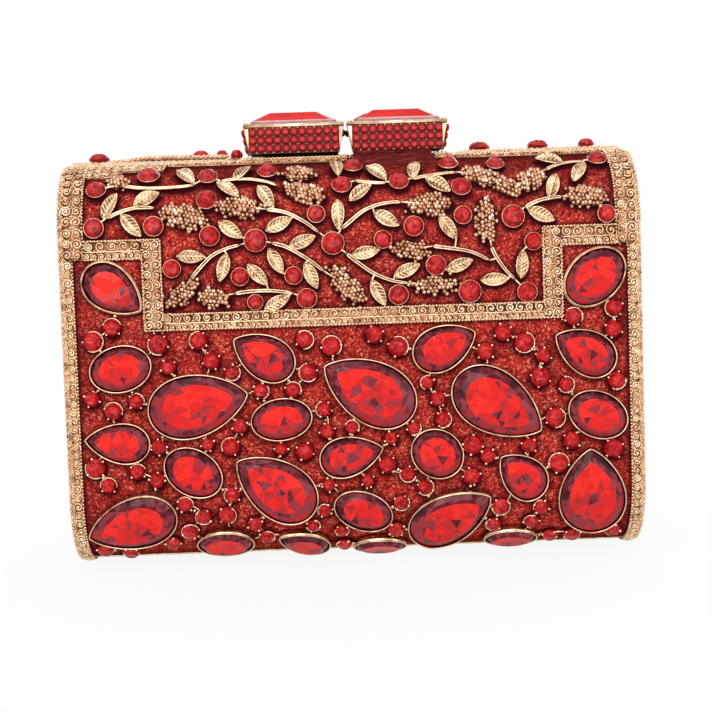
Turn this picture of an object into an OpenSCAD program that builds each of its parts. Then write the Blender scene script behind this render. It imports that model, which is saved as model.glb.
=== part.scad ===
/* [Case] */
// Length of the bag over its end bands
bag_len = 170; // [160:1:180]
// Height of the top seam above the ground
bag_h = 119; // [115:1:124]
// Depth of one half, from the seam to its front skin
half_depth = 25; // [24.5:0.25:26]
// Radius of the rounded top edge
top_r = 20; // [19.5:0.25:20.5]
// Radius of the rounded bottom edge
bottom_r = 20; // [19.5:0.25:20.5]
// Fall of the top away from the seam, in degrees
top_fall = 6; // [4:0.5:8]
// Gap between the two halves along the seam
seam_gap = 0.3; // [0.2:0.05:0.5]

/* [Walls] */
// Wall of the stiff inner shell
shell_wall = 1.6; // [1.4:0.1:1.8]
// Thickness of the glittered fabric that covers the shell
cover_t = 0.4; // [0.3:0.05:0.5]
// Thickness of the brass mouth frame
frame_t = 0.8; // [0.7:0.05:1]
// Width of the brass mouth frame, away from the seam
frame_w = 4.8; // [4:0.2:6]
// Thickness of the lining
lining_t = 0.4; // [0.3:0.05:0.5]

/* [Filigree bands] */
// Thickness of the gold filigree bands, above the fabric
band_t = 1.8; // [1.5:0.05:2]
// Height of the filigree rims beside the top seam
rim_t = 1.8; // [1.5:0.1:2]
// Width of the filigree rims beside the top seam
rim_w = 6.4; // [5:0.2:7]
// Width of the extra filigree in the top left corner of each half
corner_w = 7.4; // [5:0.2:7.6]
// Length of that extra filigree
corner_len = 23; // [10:1:24]
// Width of the end bands above the foot of the side strips
upper_band_w = 7.5; // [6:0.1:7.5]
// Width of the end bands below that
lower_band_w = 4.3; // [3.6:0.1:4.5]
// Width of the filigree border on the end faces, along the outer edge
end_border_w = 5; // [4:0.1:5.2]
// Width of the filigree border on the end faces, along the seam
seam_border_w = 4.5; // [3.5:0.1:4.7]
// Width of the filigree strips that outline the upper panel
flap_strip_w = 5.4; // [4.4:0.1:5.5]
// Width of the filigree strip along the foot of the upper panel
flap_foot_w = 4.6; // [4:0.1:4.8]
// Width of the filigree rims beside the bottom seam
base_rim_w = 5.7; // [5.5:0.1:6.2]
// Thickness of those rims, on which the bag stands
base_rim_t = 1.2; // [1:0.05:1.4]

/* [Hinge] */
// Radius of the hinge knuckles
knuckle_r = 1.9; // [1.8:0.05:2]
// Radius of the hinge pin
hinge_pin_r = 0.8; // [0.6:0.05:1]
// Radial clearance of every pin in its bore
pin_clear = 0.05; // [0.03:0.01:0.08]
// Length of the row of knuckles
hinge_len = 152; // [140:2:154]
// Number of knuckles, shared by the two halves
knuckle_count = 8; // [6:2:12]
// Gap between neighbouring knuckles
knuckle_gap = 0.3; // [0.2:0.05:0.5]
// Thickness of the hinge leaves
leaf_t = 0.6; // [0.5:0.05:0.7]
// Clearance round the knuckles in the bottom slot
slot_clear = 0.4; // [0.3:0.05:0.45]

/* [Clasp] */
// Length of each clasp block along its top
block_len = 30.4; // [29:0.2:31]
// Amount by which each end of a block leans in towards its foot
block_lean = 1.5; // [1:0.1:1.7]
// Depth of each block, front to back
block_depth = 13; // [12.6:0.1:14]
// Height of each block below its gold rim
block_h = 7.8; // [7.6:0.1:9]
// Gap between the two blocks
block_gap = 0.9; // [0.8:0.05:1.2]
// Height of the blocks above the seam rims
block_lift = 0.8; // [0.7:0.05:1.4]
// Height of the gold rim on top of each block
crown_rim_t = 1.2; // [1:0.1:1.5]
// Width of that rim round the crystal
crown_rim_w = 2; // [1.6:0.1:2.4]
// Height of the crystal above the rim
crystal_rise = 3.6; // [3:0.1:4.2]
// Length of the flat table on top of the crystal
table_len = 15; // [12:0.5:18]
// Length of the foot plate that carries each block
foot_len = 25; // [22:0.5:26]
// Thickness of the foot plate
foot_t = 1; // [0.9:0.05:1.2]
// Radius of the lugs on the foot plate
lug_r = 1.6; // [1.5:0.05:1.7]
// Thickness of each lug
lug_t = 1; // [0.8:0.05:1.05]
// Radius of the pin on which a block tilts
clasp_pin_r = 0.6; // [0.5:0.05:0.7]
// Radius of the round catch on the inner end of each block
catch_r = 1.2; // [1.1:0.05:1.3]

/* [Stones] */
// Length of the longest stone, as a share of the length of the bag
stone_share = 0.174; // [0.16:0.001:0.174]
// Height of the gold bezels round the large stones
bezel_h = 2; // [1.6:0.1:2.2]
// Wall of the gold bezels
bezel_wall = 0.7; // [0.5:0.05:0.9]
// Height of the large stones above the fabric
stone_rise = 3.4; // [3:0.1:3.6]
// Height of the small round stones above what they stand on
round_rise = 2.9; // [2.4:0.1:3.1]
// Thickness of the cast gold stems
stem_h = 1.2; // [0.9:0.05:1.3]
// Height of the cast gold leaves above the stems
leaf_rise = 0.5; // [0.4:0.05:0.8]
// Height of the berry clusters
berry_rise = 2.2; // [1.8:0.1:2.5]
// Width of one rhinestone on a clasp block
chip_w = 2.1; // [1.8:0.05:2.2]
// Height of one rhinestone on a clasp block
chip_h = 0.8; // [0.6:0.05:1]

/* [Hidden] */
$fn = 32;

// One overrun serves every cut
over = 2 * seam_gap;
// Half of the seam gap, the plane where each half stops
seam_y = seam_gap / 2;
half_len = bag_len / 2;
skin_half_len = half_len - band_t;
base_z = base_rim_t;

// The skin of one half, run from the top seam down the front to the bottom seam
top_flat = half_depth - top_r;
bottom_flat = half_depth - bottom_r;
top_arc_angle = 90 - top_fall;
lean_y = top_flat + top_r * sin(top_fall);
top_run = lean_y / cos(top_fall);
top_arc_run = top_r * top_arc_angle * PI / 180;
top_arc_z = bag_h - top_r * cos(top_fall) - lean_y * tan(top_fall);
bottom_arc_z = base_z + bottom_r;
wall_run = top_arc_z - bottom_arc_z;
bottom_arc_run = bottom_r * PI / 2;
skin_run = top_run + top_arc_run + wall_run + bottom_arc_run + bottom_flat;
arc_steps = 14;

// Where the run changes from one stretch to the next
top_arc_start = top_run;
wall_start = top_arc_start + top_arc_run;
bottom_arc_start = wall_start + wall_run;
bottom_flat_start = bottom_arc_start + bottom_arc_run;

// Angle of the outward normal below the upright, at a place s along the run
function lean(s) =
    s < top_arc_start ? top_fall
    : s < wall_start ? top_fall + (s - top_arc_start) * 180 / PI / top_r
    : s < bottom_arc_start ? 90
    : s < bottom_flat_start ? 90 + (s - bottom_arc_start) * 180 / PI / bottom_r
    : 180;

// Point [y, z] on the skin at s
function skin_point(s) =
    s < top_arc_start ? [-s * cos(top_fall), bag_h - s * sin(top_fall)]
    : s < wall_start ? [-top_flat - top_r * sin(lean(s)), top_arc_z + top_r * cos(lean(s))]
    : s < bottom_arc_start ? [-half_depth, top_arc_z - (s - wall_start)]
    : s < bottom_flat_start
        ? [-bottom_flat - bottom_r * sin(lean(s)), bottom_arc_z + bottom_r * cos(lean(s))]
    : [-bottom_flat + (s - bottom_flat_start), base_z];

// The same point moved outwards by o
function offset_point(s, o) = skin_point(s) + o * [-sin(lean(s)), cos(lean(s))];

// Stations of the run, shared by every layer so that the layers meet face to face.
// The first lies past the seam, because the outer layers start a little beyond it
stations = concat(
    [-top_run],
    [for (i = [0:arc_steps]) top_arc_start + top_arc_run * i / arc_steps],
    [for (i = [0:arc_steps]) bottom_arc_start + bottom_arc_run * i / arc_steps],
    [skin_run]
);
function station_below(s) =
    max([for (i = [0:len(stations) - 2]) stations[i] <= s ? i : 0]);
function chord_point(s, o) =
    let (i = station_below(s))
    let (part = (s - stations[i]) / (stations[i + 1] - stations[i]))
    offset_point(stations[i], o) * (1 - part) + offset_point(stations[i + 1], o) * part;

// Points along the skin from s1 to s2 at offset o
function run_points(s1, s2, o) = concat(
    [chord_point(s1, o)],
    [for (s = stations) if (s > s1 && s < s2) offset_point(s, o)],
    [chord_point(s2, o)]
);

// Outline of one half at offset o, cut off straight at the plane y = -stop
function half_outline(o, stop) =
    run_points((stop - o * sin(top_fall)) / cos(top_fall), skin_run - stop, o);

// Layers below the skin
shell_depth = cover_t + shell_wall;
frame_depth = shell_depth + frame_t;
lining_depth = frame_depth + lining_t;

// The slot along the bottom that makes room for the knuckles
slot_half = knuckle_r + slot_clear;
slot_top = base_z + lining_depth + slot_clear / 2;
ground_clear = hinge_pin_r / 8;
hinge_z = knuckle_r + ground_clear;

// Solid drawn in the Y and Z plane and run along X
module along_x(x1, x2) {
    translate([x1, 0, 0]) rotate([90, 0, 90]) linear_extrude(x2 - x1) children();
}

// Band that follows the skin from s1 to s2, between two offsets
module strip(x1, x2, s1, s2, o1, o2) {
    outer = run_points(s1, s2, o2);
    inner = run_points(s1, s2, o1);
    last = len(inner) - 1;
    along_x(x1, x2) polygon(concat(outer, [for (i = [0:last]) inner[last - i]]));
}

module half_body(o) {
    along_x(-skin_half_len - o, skin_half_len + o) polygon(half_outline(o, seam_y));
}

// The same form run past the seam, for hollowing
module half_hollow(o) {
    outline = half_outline(o, seam_y);
    top = outline[0];
    bottom = outline[len(outline) - 1];
    along_x(-skin_half_len - o, skin_half_len + o)
        polygon(concat([[over, top[1]]], outline, [[over, bottom[1]]]));
}

module hinge_slot() {
    translate([-bag_len, -slot_half, -band_t - over])
        cube([2 * bag_len, slot_half + over, slot_top + band_t + over]);
}

module layer(outer_o, inner_o) {
    difference() {
        half_body(outer_o);
        half_hollow(inner_o);
        hinge_slot();
    }
}

// Shells, cover and lining
module shell() {
    color("#4a4038") layer(-cover_t, -shell_depth);
}

module cover() {
    color("#8f161c") layer(0, -cover_t);
}

module lining() {
    color("#3a1416") layer(-frame_depth, -lining_depth);
}

frame_foot_share = 0.06;
module mouth_frame() {
    color("#d8b070") difference() {
        intersection() {
            half_body(-shell_depth);
            translate([-bag_len, -frame_w, bag_h * frame_foot_share])
                cube([2 * bag_len, frame_w, bag_h]);
        }
        half_hollow(-frame_depth);
    }
}

// Gold filigree
flap_left_share = -0.681;
flap_right_share = 0.690;
flap_side_share = 0.2725;
flap_foot_share = 0.4155;
flap_side_start = flap_side_share * skin_run - flap_strip_w / 2;
flap_side_end = flap_side_share * skin_run + flap_strip_w / 2;
flap_foot_start = flap_foot_share * skin_run - flap_foot_w / 2;
flap_foot_end = flap_foot_share * skin_run + flap_foot_w / 2;
flap_left = flap_left_share * half_len;
flap_right = flap_right_share * half_len;
upper_inner = half_len - upper_band_w;
lower_inner = half_len - lower_band_w;
base_start = skin_run - base_rim_w;
band_lift = base_rim_t / 4;

module end_band(side) {
    color("#d9b88a") difference() {
        union() {
            mirror([side < 0 ? 1 : 0, 0, 0]) {
                strip(upper_inner, skin_half_len, rim_w, flap_side_end, 0, band_t);
                strip(lower_inner, skin_half_len, flap_side_end, base_start, 0, band_t);
                along_x(skin_half_len, half_len) difference() {
                    polygon(half_outline(band_t, seam_y));
                    polygon(half_outline(-end_border_w, seam_border_w));
                }
            }
        }
        hinge_slot();
        translate([-bag_len, -2 * half_depth, -band_t - over])
            cube([2 * bag_len, 2 * half_depth, band_t + over + band_lift]);
    }
}

module flap_band() {
    left_out = flap_left - flap_strip_w / 2;
    left_in = flap_left + flap_strip_w / 2;
    right_in = flap_right - flap_strip_w / 2;
    right_out = flap_right + flap_strip_w / 2;
    color("#d9b88a") union() {
        strip(-upper_inner, left_in, flap_side_start, flap_side_end, 0, band_t);
        strip(right_in, upper_inner, flap_side_start, flap_side_end, 0, band_t);
        strip(left_out, left_in, flap_side_start, flap_foot_end, 0, band_t);
        strip(right_in, right_out, flap_side_start, flap_foot_end, 0, band_t);
        strip(left_out, right_out, flap_foot_start, flap_foot_end, 0, band_t);
    }
}

// The block of each half stands on the side of positive X, seen from its own skin
foot_x1 = block_gap / 2 + block_lean / 3;
foot_x2 = foot_x1 + foot_len;
module top_rim() {
    color("#d9b88a") {
        strip(-skin_half_len, foot_x1 - seam_gap, seam_y, rim_w, 0, rim_t);
        strip(foot_x2 + seam_gap, skin_half_len, seam_y, rim_w, 0, rim_t);
        strip(-upper_inner, corner_len - upper_inner, rim_w, rim_w + corner_w, 0, rim_t);
    }
}

module base_rim() {
    color("#d9b88a")
        strip(-skin_half_len, skin_half_len, base_start, skin_run - slot_half, 0, base_rim_t);
}

// Hinge
knuckle_pitch = hinge_len / knuckle_count;
leaf_z = base_z + shell_depth;

// Cylinder along X from x1 to x2, at the hinge axis
module hinge_rod(x1, x2, r) {
    translate([x1, 0, hinge_z]) rotate([0, 90, 0]) cylinder(r = r, h = x2 - x1);
}

module hinge_leaf() {
    color("#c9a15c") difference() {
        union() {
            translate([-hinge_len / 2, -bottom_flat, leaf_z])
                cube([hinge_len, bottom_flat - slot_half, leaf_t]);
            for (i = [0:2:knuckle_count - 1]) {
                x1 = -hinge_len / 2 + i * knuckle_pitch + knuckle_gap / 2;
                x2 = x1 + knuckle_pitch - knuckle_gap;
                hinge_rod(x1, x2, knuckle_r);
                translate([x1, -bottom_flat, leaf_z]) cube([x2 - x1, bottom_flat, leaf_t]);
            }
        }
        hinge_rod(-hinge_len, hinge_len, hinge_pin_r + pin_clear);
    }
}

pin_head_t = hinge_pin_r;
pin_head_r = 1.75 * hinge_pin_r;
module hinge_pin() {
    reach = hinge_len / 2 + knuckle_gap;
    color("#d8b070") {
        hinge_rod(-reach, reach, hinge_pin_r);
        hinge_rod(reach, reach + pin_head_t, pin_head_r);
        hinge_rod(-reach - pin_head_t, -reach, pin_head_r);
    }
}

// Clasp
block_z = bag_h + rim_t + block_lift;
block_top = block_z + block_h;
block_x = block_gap / 2 + block_len / 2;
clasp_pin_z = block_z + lug_r - clasp_pin_r;
lug_gap = seam_gap / 3;
front_lug_y = 2 * seam_gap;
eye_y = front_lug_y + lug_t + lug_gap;
eye_t = 2.2 * lug_t;
back_lug_y = eye_y + eye_t + lug_gap;
recess_half = lug_r + 2 * seam_gap;
recess_top = clasp_pin_z + lug_r + 2 * seam_gap;
eye_r = lug_r - lug_gap;

// Cylinder along Y from -y1 to -y2, at the axis on which a block tilts
module tilt_rod(y1, y2, r) {
    translate([block_x, -y1, clasp_pin_z]) rotate([90, 0, 0]) cylinder(r = r, h = y2 - y1);
}

module clasp_lug(y1) {
    lug_z = bag_h + foot_t * 0.3;
    translate([block_x - lug_r, -y1 - lug_t, lug_z])
        cube([2 * lug_r, lug_t, clasp_pin_z - lug_z]);
    tilt_rod(y1, y1 + lug_t, lug_r);
}

module clasp_foot() {
    color("#b98d52") difference() {
        union() {
            strip(foot_x1, foot_x2, seam_y, rim_w, 0, foot_t);
            clasp_lug(front_lug_y);
            clasp_lug(back_lug_y);
        }
        tilt_rod(0, rim_w, clasp_pin_r + pin_clear);
    }
}

module clasp_pivot() {
    color("#e6c88e") tilt_rod(front_lug_y, back_lug_y + lug_t, clasp_pin_r);
}

module block_form() {
    x1 = block_gap / 2;
    x2 = x1 + block_len;
    translate([0, block_depth / 2, 0]) rotate([90, 0, 0]) linear_extrude(block_depth)
        polygon([[x1 + block_lean, block_z], [x2 - block_lean, block_z],
            [x2, block_top], [x1, block_top]]);
}

module clasp_case() {
    color("#d2a86a") difference() {
        block_form();
        translate([block_x - recess_half, -back_lug_y - lug_t - seam_gap, block_z - over])
            cube([2 * recess_half, back_lug_y + lug_t, recess_top - block_z + over]);
    }
}

module clasp_stem() {
    color("#c9a15c") difference() {
        union() {
            tilt_rod(eye_y, eye_y + eye_t, eye_r);
            translate([block_x - eye_r, -eye_y - eye_t, clasp_pin_z])
                cube([2 * eye_r, eye_t, recess_top - clasp_pin_z]);
        }
        tilt_rod(0, rim_w, clasp_pin_r + pin_clear);
    }
}

rim_overhang = crown_rim_w / 6;
module clasp_rim() {
    color("#e0bb80") translate([block_gap / 2, -block_depth / 2, block_top]) difference() {
        translate([-rim_overhang / 3, -rim_overhang, 0])
            cube([block_len + rim_overhang, block_depth + 2 * rim_overhang, crown_rim_t]);
        translate([crown_rim_w, crown_rim_w, -over])
            cube([block_len - 2 * crown_rim_w, block_depth - 2 * crown_rim_w,
                crown_rim_t + 2 * over]);
    }
}

// Long crystal with cut corners: a straight girdle, long end facets and a flat table
crystal_len = block_len - 2 * crown_rim_w - 2 * pin_clear;
crystal_depth = block_depth - 2 * crown_rim_w - 2 * pin_clear;
corner_share = 0.16;
table_depth_share = 0.44;
function cut_corner_ring(length, depth, z) =
    let (c = depth * corner_share, x = length / 2, y = depth / 2)
    [[x, -y + c, z], [x, y - c, z], [x - c, y, z], [-x + c, y, z],
     [-x, y - c, z], [-x, -y + c, z], [-x + c, -y, z], [x - c, -y, z]];

// Stack of rings with the same number of points, closed at both ends
module ring_stack(rings) {
    n = len(rings[0]);
    tiers = len(rings);
    polyhedron(
        points = [for (r = rings) each r],
        faces = concat(
            [[for (i = [0:n - 1]) i]],
            [for (k = [0:tiers - 2], i = [0:n - 1])
                [k * n + (i + 1) % n, k * n + i, (k + 1) * n + i, (k + 1) * n + (i + 1) % n]],
            [[for (i = [0:n - 1]) tiers * n - 1 - i]]
        )
    );
}

module clasp_crystal() {
    table_depth = table_depth_share * crystal_depth;
    girdle_z = crown_rim_t + crystal_rise / 6;
    mid_z = crown_rim_t + crystal_rise * 0.68;
    color("#e02028") translate([block_x, 0, block_top]) ring_stack([
        cut_corner_ring(crystal_len, crystal_depth, 0),
        cut_corner_ring(crystal_len, crystal_depth, girdle_z),
        cut_corner_ring(table_len + (crystal_len - table_len) * 0.42,
            table_depth + (crystal_depth - table_depth) * 0.55, mid_z),
        cut_corner_ring(table_len, table_depth, crown_rim_t + crystal_rise)
    ]);
}

// Rows of small round stones on the front, the back and the outer end of a block
chip_columns = 11;
chip_rows = 3;
end_columns = 5;
module chip() {
    rotate_extrude($fn = 20) polygon([[0, 0], [chip_w / 2, 0], [chip_w / 2, chip_h / 2],
        [chip_w / 4, chip_h], [0, chip_h]]);
}

module clasp_rhinestones() {
    pitch_x = (block_len - 2 * block_lean) / (chip_columns - 0.04);
    pitch_z = block_h / (chip_rows + 0.2);
    end_pitch = block_depth / (end_columns + 0.2);
    end_tilt = atan(block_lean / block_h);
    color("#c01a22") for (k = [0:chip_rows - 1]) {
        rise = (k - (chip_rows - 1) / 2) * pitch_z;
        z = block_z + block_h / 2 + rise;
        for (side = [-1, 1], i = [0:chip_columns - 1])
            translate([block_x + (i - (chip_columns - 1) / 2) * pitch_x,
                side * block_depth / 2, z]) rotate([-side * 90, 0, 0]) chip();
        end_x = block_gap / 2 + block_len - block_lean / 2 + rise * tan(end_tilt);
        for (i = [0:end_columns - 1])
            translate([end_x, (i - (end_columns - 1) / 2) * end_pitch, z])
                rotate([0, 90 + end_tilt, 0]) chip();
    }
}

module clasp_catch() {
    catch_x = catch_r - seam_y;
    catch_z = block_top - 1.5 * catch_r;
    color("#e6c88e") difference() {
        translate([catch_x, catch_r + seam_y, catch_z]) sphere(r = catch_r);
        block_form();
    }
}

// Stones and vines. Places are [x_share, run_share, turn, kind], where x_share is
// of half the length of the bag and run_share is of the run of the skin
run_stone_share = 1.134 * stone_share;
trim_unit = min(stone_share * bag_len, run_stone_share * skin_run);

// Each kind of large stone: length, width and how pointed its tip is
kind_shares = [
    [1, 0.628, 0.5], [0.662, 0.446, 0.5], [0.642, 0.405, 0.6], [0.615, 0.459, 0],
    [0.608, 0.419, 0], [0.541, 0.480, 0], [0.865, 0.676, 0.55], [0.561, 0.426, 0.5],
    [0.676, 0.5, 0], [0.574, 0.405, 0], [0.919, 0.581, 0.5], [0.557, 0.372, 0.5],
    [0.541, 0.318, 0]
];
large_shares = [
    [-0.815, 0.350, -38, 1], [0.833, 0.355, 40, 8], [-0.801, 0.503, 12, 3],
    [-0.541, 0.578, 11, 0], [-0.822, 0.647, 173, 2], [-0.567, 0.710, -33, 3],
    [-0.786, 0.807, 197, 10], [-0.470, 0.864, 0, 9], [-0.311, 0.487, 149, 1],
    [-0.257, 0.612, 7, 4], [-0.286, 0.745, 144, 10], [0.047, 0.561, 150, 0],
    [-0.021, 0.688, 12, 2], [0.014, 0.796, -24, 4], [0.311, 0.481, 24, 1],
    [0.275, 0.690, -35, 5], [0.318, 0.817, 32, 10], [-0.196, 0.872, 152, 11],
    [0.072, 0.893, 0, 12], [0.490, 0.597, -33, 0], [0.794, 0.499, 150, 1],
    [0.834, 0.624, -25, 3], [0.808, 0.773, 92, 6], [0.566, 0.739, 137, 7],
    [0.533, 0.879, 0, 12]
];

// Widths of the small round stones, as shares of the longest stone
round_kind_shares = [0.135, 0.155, 0.176, 0.196, 0.223];
upper_round_shares = [
    [-0.866, 0.153, 3], [-0.689, 0.118, 4], [-0.872, 0.230, 3], [-0.669, 0.230, 3],
    [-0.484, 0.127, 3], [-0.487, 0.183, 3], [-0.479, 0.251, 3], [-0.612, 0.312, 2],
    [-0.381, 0.332, 2], [-0.324, 0.263, 4], [-0.332, 0.382, 1], [-0.279, 0.116, 3],
    [0.019, 0.107, 3], [0.351, 0.108, 3], [-0.023, 0.159, 3], [0.174, 0.155, 3],
    [-0.114, 0.217, 2], [-0.060, 0.273, 4], [0.218, 0.245, 3], [0.111, 0.269, 2],
    [-0.198, 0.333, 2], [-0.155, 0.378, 3], [0.290, 0.322, 3], [0.159, 0.377, 3],
    [0.514, 0.115, 2], [0.872, 0.108, 3], [0.387, 0.172, 3], [0.387, 0.228, 2],
    [0.559, 0.233, 4], [0.879, 0.234, 2], [0.626, 0.282, 2], [0.404, 0.375, 4],
    [0.601, 0.380, 3]
];
lower_round_shares = [
    [-0.824, 0.422, 2], [-0.891, 0.448, 3], [-0.669, 0.458, 3], [-0.531, 0.453, 2],
    [-0.489, 0.493, 2], [-0.638, 0.502, 1], [-0.421, 0.517, 1], [-0.903, 0.560, 1],
    [-0.832, 0.585, 2], [-0.753, 0.567, 1], [-0.400, 0.623, 1], [-0.681, 0.658, 1],
    [-0.513, 0.655, 0], [-0.435, 0.662, 2], [-0.901, 0.695, 3], [-0.758, 0.705, 1],
    [-0.859, 0.730, 1], [-0.692, 0.723, 1], [-0.600, 0.772, 1], [-0.436, 0.757, 1],
    [-0.538, 0.797, 1], [-0.458, 0.795, 2], [-0.588, 0.828, 2], [-0.653, 0.857, 1],
    [-0.362, 0.817, 1], [-0.892, 0.872, 2], [-0.806, 0.885, 2], [-0.169, 0.458, 2],
    [-0.078, 0.472, 3], [0.072, 0.453, 2], [0.151, 0.478, 3], [-0.160, 0.522, 2],
    [-0.325, 0.555, 1], [0.249, 0.550, 0], [-0.214, 0.555, 1], [-0.110, 0.595, 1],
    [0.284, 0.582, 1], [-0.101, 0.638, 1], [-0.016, 0.632, 0], [0.197, 0.638, 0],
    [0.299, 0.623, 1], [0.118, 0.656, 0], [-0.262, 0.670, 0], [-0.181, 0.676, 2],
    [0.102, 0.708, 2], [0.172, 0.728, 1], [-0.102, 0.744, 0], [0.033, 0.738, 0],
    [0.231, 0.755, 1], [0.146, 0.783, 1], [-0.119, 0.793, 0], [-0.162, 0.824, 0],
    [-0.062, 0.839, 0], [0.128, 0.842, 2], [-0.325, 0.848, 1], [-0.054, 0.883, 1],
    [0.757, 0.431, 2], [0.898, 0.416, 2], [0.895, 0.457, 2], [0.514, 0.457, 2],
    [0.586, 0.478, 3], [0.451, 0.493, 2], [0.651, 0.505, 1], [0.639, 0.547, 3],
    [0.727, 0.563, 1], [0.902, 0.558, 2], [0.686, 0.627, 3], [0.399, 0.675, 3],
    [0.593, 0.681, 1], [0.742, 0.673, 2], [0.451, 0.698, 1], [0.886, 0.692, 3],
    [0.695, 0.717, 3], [0.392, 0.737, 2], [0.492, 0.798, 2], [0.633, 0.802, 1],
    [0.468, 0.837, 1], [0.600, 0.833, 1], [0.671, 0.877, 1], [0.751, 0.877, 2],
    [0.889, 0.865, 2]
];

// Round stones on the top rim of the back half: [x_share, kind]
rim_middle_share = 0.56;
rim_round_shares = [
    [0.893, 4], [0.524, 3], [0.448, 0], [0.395, 0], [-0.487, 4], [-0.7, 4], [-0.878, 2]
];

// Stones on the end faces: [depth_share, height_share, turn, kind]
end_large_shares = [[0.49, 0.32, 90, 4], [0.49, 0.485, 90, 2], [0.49, 0.65, 90, 4]];
end_round_shares = [
    [0.32, 0.79, 2], [0.66, 0.785, 3], [0.49, 0.86, 3], [0.34, 0.905, 1],
    [0.32, 0.19, 2], [0.66, 0.20, 3], [0.43, 0.11, 2]
];

// Middle lines of the stems: [x_share, run_share]
stem_shares = [
    [[-0.79, 0.143], [-0.70, 0.152], [-0.60, 0.152], [-0.53, 0.148]],
    [[-0.44, 0.140], [-0.38, 0.136], [-0.33, 0.138], [-0.28, 0.146], [-0.247, 0.155]],
    [[-0.827, 0.212], [-0.79, 0.203], [-0.74, 0.195], [-0.70, 0.194], [-0.665, 0.195]],
    [[-0.55, 0.333], [-0.51, 0.308], [-0.47, 0.288], [-0.42, 0.276], [-0.376, 0.270]],
    [[-0.27, 0.268], [-0.22, 0.277], [-0.16, 0.297], [-0.12, 0.314], [-0.095, 0.326]],
    [[-0.285, 0.205], [-0.25, 0.208], [-0.21, 0.214], [-0.15, 0.232], [-0.105, 0.252]],
    [[-0.031, 0.246], [0, 0.233], [0.05, 0.213], [0.10, 0.203], [0.15, 0.199],
        [0.178, 0.200]],
    [[-0.016, 0.293], [0.02, 0.310], [0.075, 0.333], [0.14, 0.349], [0.196, 0.355]],
    [[-0.403, 0.364], [-0.36, 0.361], [-0.30, 0.360], [-0.24, 0.363], [-0.20, 0.368]],
    [[0.280, 0.285], [0.33, 0.289], [0.41, 0.298], [0.475, 0.316]],
    [[0.482, 0.290], [0.495, 0.307], [0.525, 0.333], [0.56, 0.355]],
    [[0.688, 0.137], [0.715, 0.127], [0.765, 0.117], [0.823, 0.114]],
    [[0.60, 0.217], [0.65, 0.205], [0.70, 0.200], [0.73, 0.199]],
    [[0.024, 0.151], [0.06, 0.154], [0.10, 0.157], [0.13, 0.157]],
    [[0.220, 0.150], [0.26, 0.145], [0.31, 0.140], [0.35, 0.137], [0.372, 0.137]]
];

// Middles of the leaves: [x_share, run_share, turn]
leaf_len_share = 0.278;
leaf_width_share = 0.12;
leaf_shares = [
    [-0.817, 0.188, 61], [-0.692, 0.178, 28], [-0.745, 0.227, -48], [-0.560, 0.124, -49],
    [-0.413, 0.161, -39], [-0.545, 0.290, -3], [-0.407, 0.241, -35], [-0.437, 0.313, -107],
    [-0.365, 0.118, 55], [-0.284, 0.180, -57], [-0.243, 0.234, 22], [-0.165, 0.268, 22],
    [-0.257, 0.304, -63], [-0.321, 0.329, -48], [-0.138, 0.334, -67], [-0.257, 0.384, 27],
    [0.040, 0.177, 38], [-0.040, 0.219, -90], [-0.037, 0.109, -85], [0.100, 0.130, -48],
    [0.229, 0.125, 80], [0.308, 0.166, -34], [0.125, 0.230, -28], [0.335, 0.250, -55],
    [0.050, 0.293, 10], [0.190, 0.330, 24], [0.090, 0.372, -63], [0.370, 0.323, 20],
    [0.490, 0.353, 2], [0.585, 0.325, 85], [0.655, 0.232, -23], [0.702, 0.177, 70],
    [0.798, 0.145, 60], [0.705, 0.108, -22]
];

// Berry clusters: [x_share, run_share, length share, width share, turn]
cluster_shares = [
    [-0.565, 0.213, 0.473, 0.216, -12], [-0.365, 0.199, 0.405, 0.176, -5],
    [-0.590, 0.357, 0.270, 0.236, 0], [-0.475, 0.371, 0.338, 0.182, -8],
    [-0.172, 0.123, 0.338, 0.203, 0], [-0.150, 0.172, 0.422, 0.203, -18],
    [-0.020, 0.355, 0.473, 0.216, -52], [0.275, 0.205, 0.456, 0.223, 0],
    [0.205, 0.291, 0.389, 0.203, -10], [0.290, 0.359, 0.422, 0.155, 0],
    [-0.775, 0.123, 0.203, 0.149, 0], [0.457, 0.146, 0.338, 0.189, -18],
    [0.545, 0.175, 0.236, 0.149, -25], [0.635, 0.158, 0.270, 0.216, 35],
    [0.465, 0.238, 0.422, 0.203, 90], [0.812, 0.199, 0.422, 0.203, -3]
];

// Frame of the skin at a place: X along the bag, Y up the skin and Z outwards
module on_skin(place, turn = 0) {
    s = place[1] * skin_run;
    p = skin_point(s);
    translate([place[0] * half_len, p[0], p[1]])
        rotate([lean(s), 0, 0]) rotate([0, 0, turn]) children();
}

// The same on an end face, on side 1 or -1
module on_end(side, place, turn = 0) {
    translate([side * skin_half_len, -place[0] * half_depth, place[1] * bag_h])
        rotate([90, 0, side * 90]) rotate([0, 0, turn]) children();
}

// Outline of an oval or, where point is over 0, of a pear with its tip on positive X
gem_sides = 20;
function pear_peak(point) =
    let (t = acos(-point / (2 + point))) sin(t) * pow(sin(t / 2), point);
function gem_outline(length, width, point) = [
    for (i = [0:gem_sides - 1])
        let (t = 360 * i / gem_sides)
        [length / 2 * cos(t),
         width / 2 * sin(t) * (point > 0 ? pow(abs(sin(t / 2)), point) / pear_peak(point) : 1)]
];

bezel_floor = bezel_h / 4;
module gem_bezel(kind) {
    length = kind_shares[kind][0] * trim_unit;
    width = kind_shares[kind][1] * trim_unit;
    point = kind_shares[kind][2];
    difference() {
        linear_extrude(bezel_h) polygon(gem_outline(length, width, point));
        translate([0, 0, bezel_floor]) linear_extrude(bezel_h)
            polygon(gem_outline(length - 2 * bezel_wall, width - 2 * bezel_wall, point));
    }
}

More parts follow.
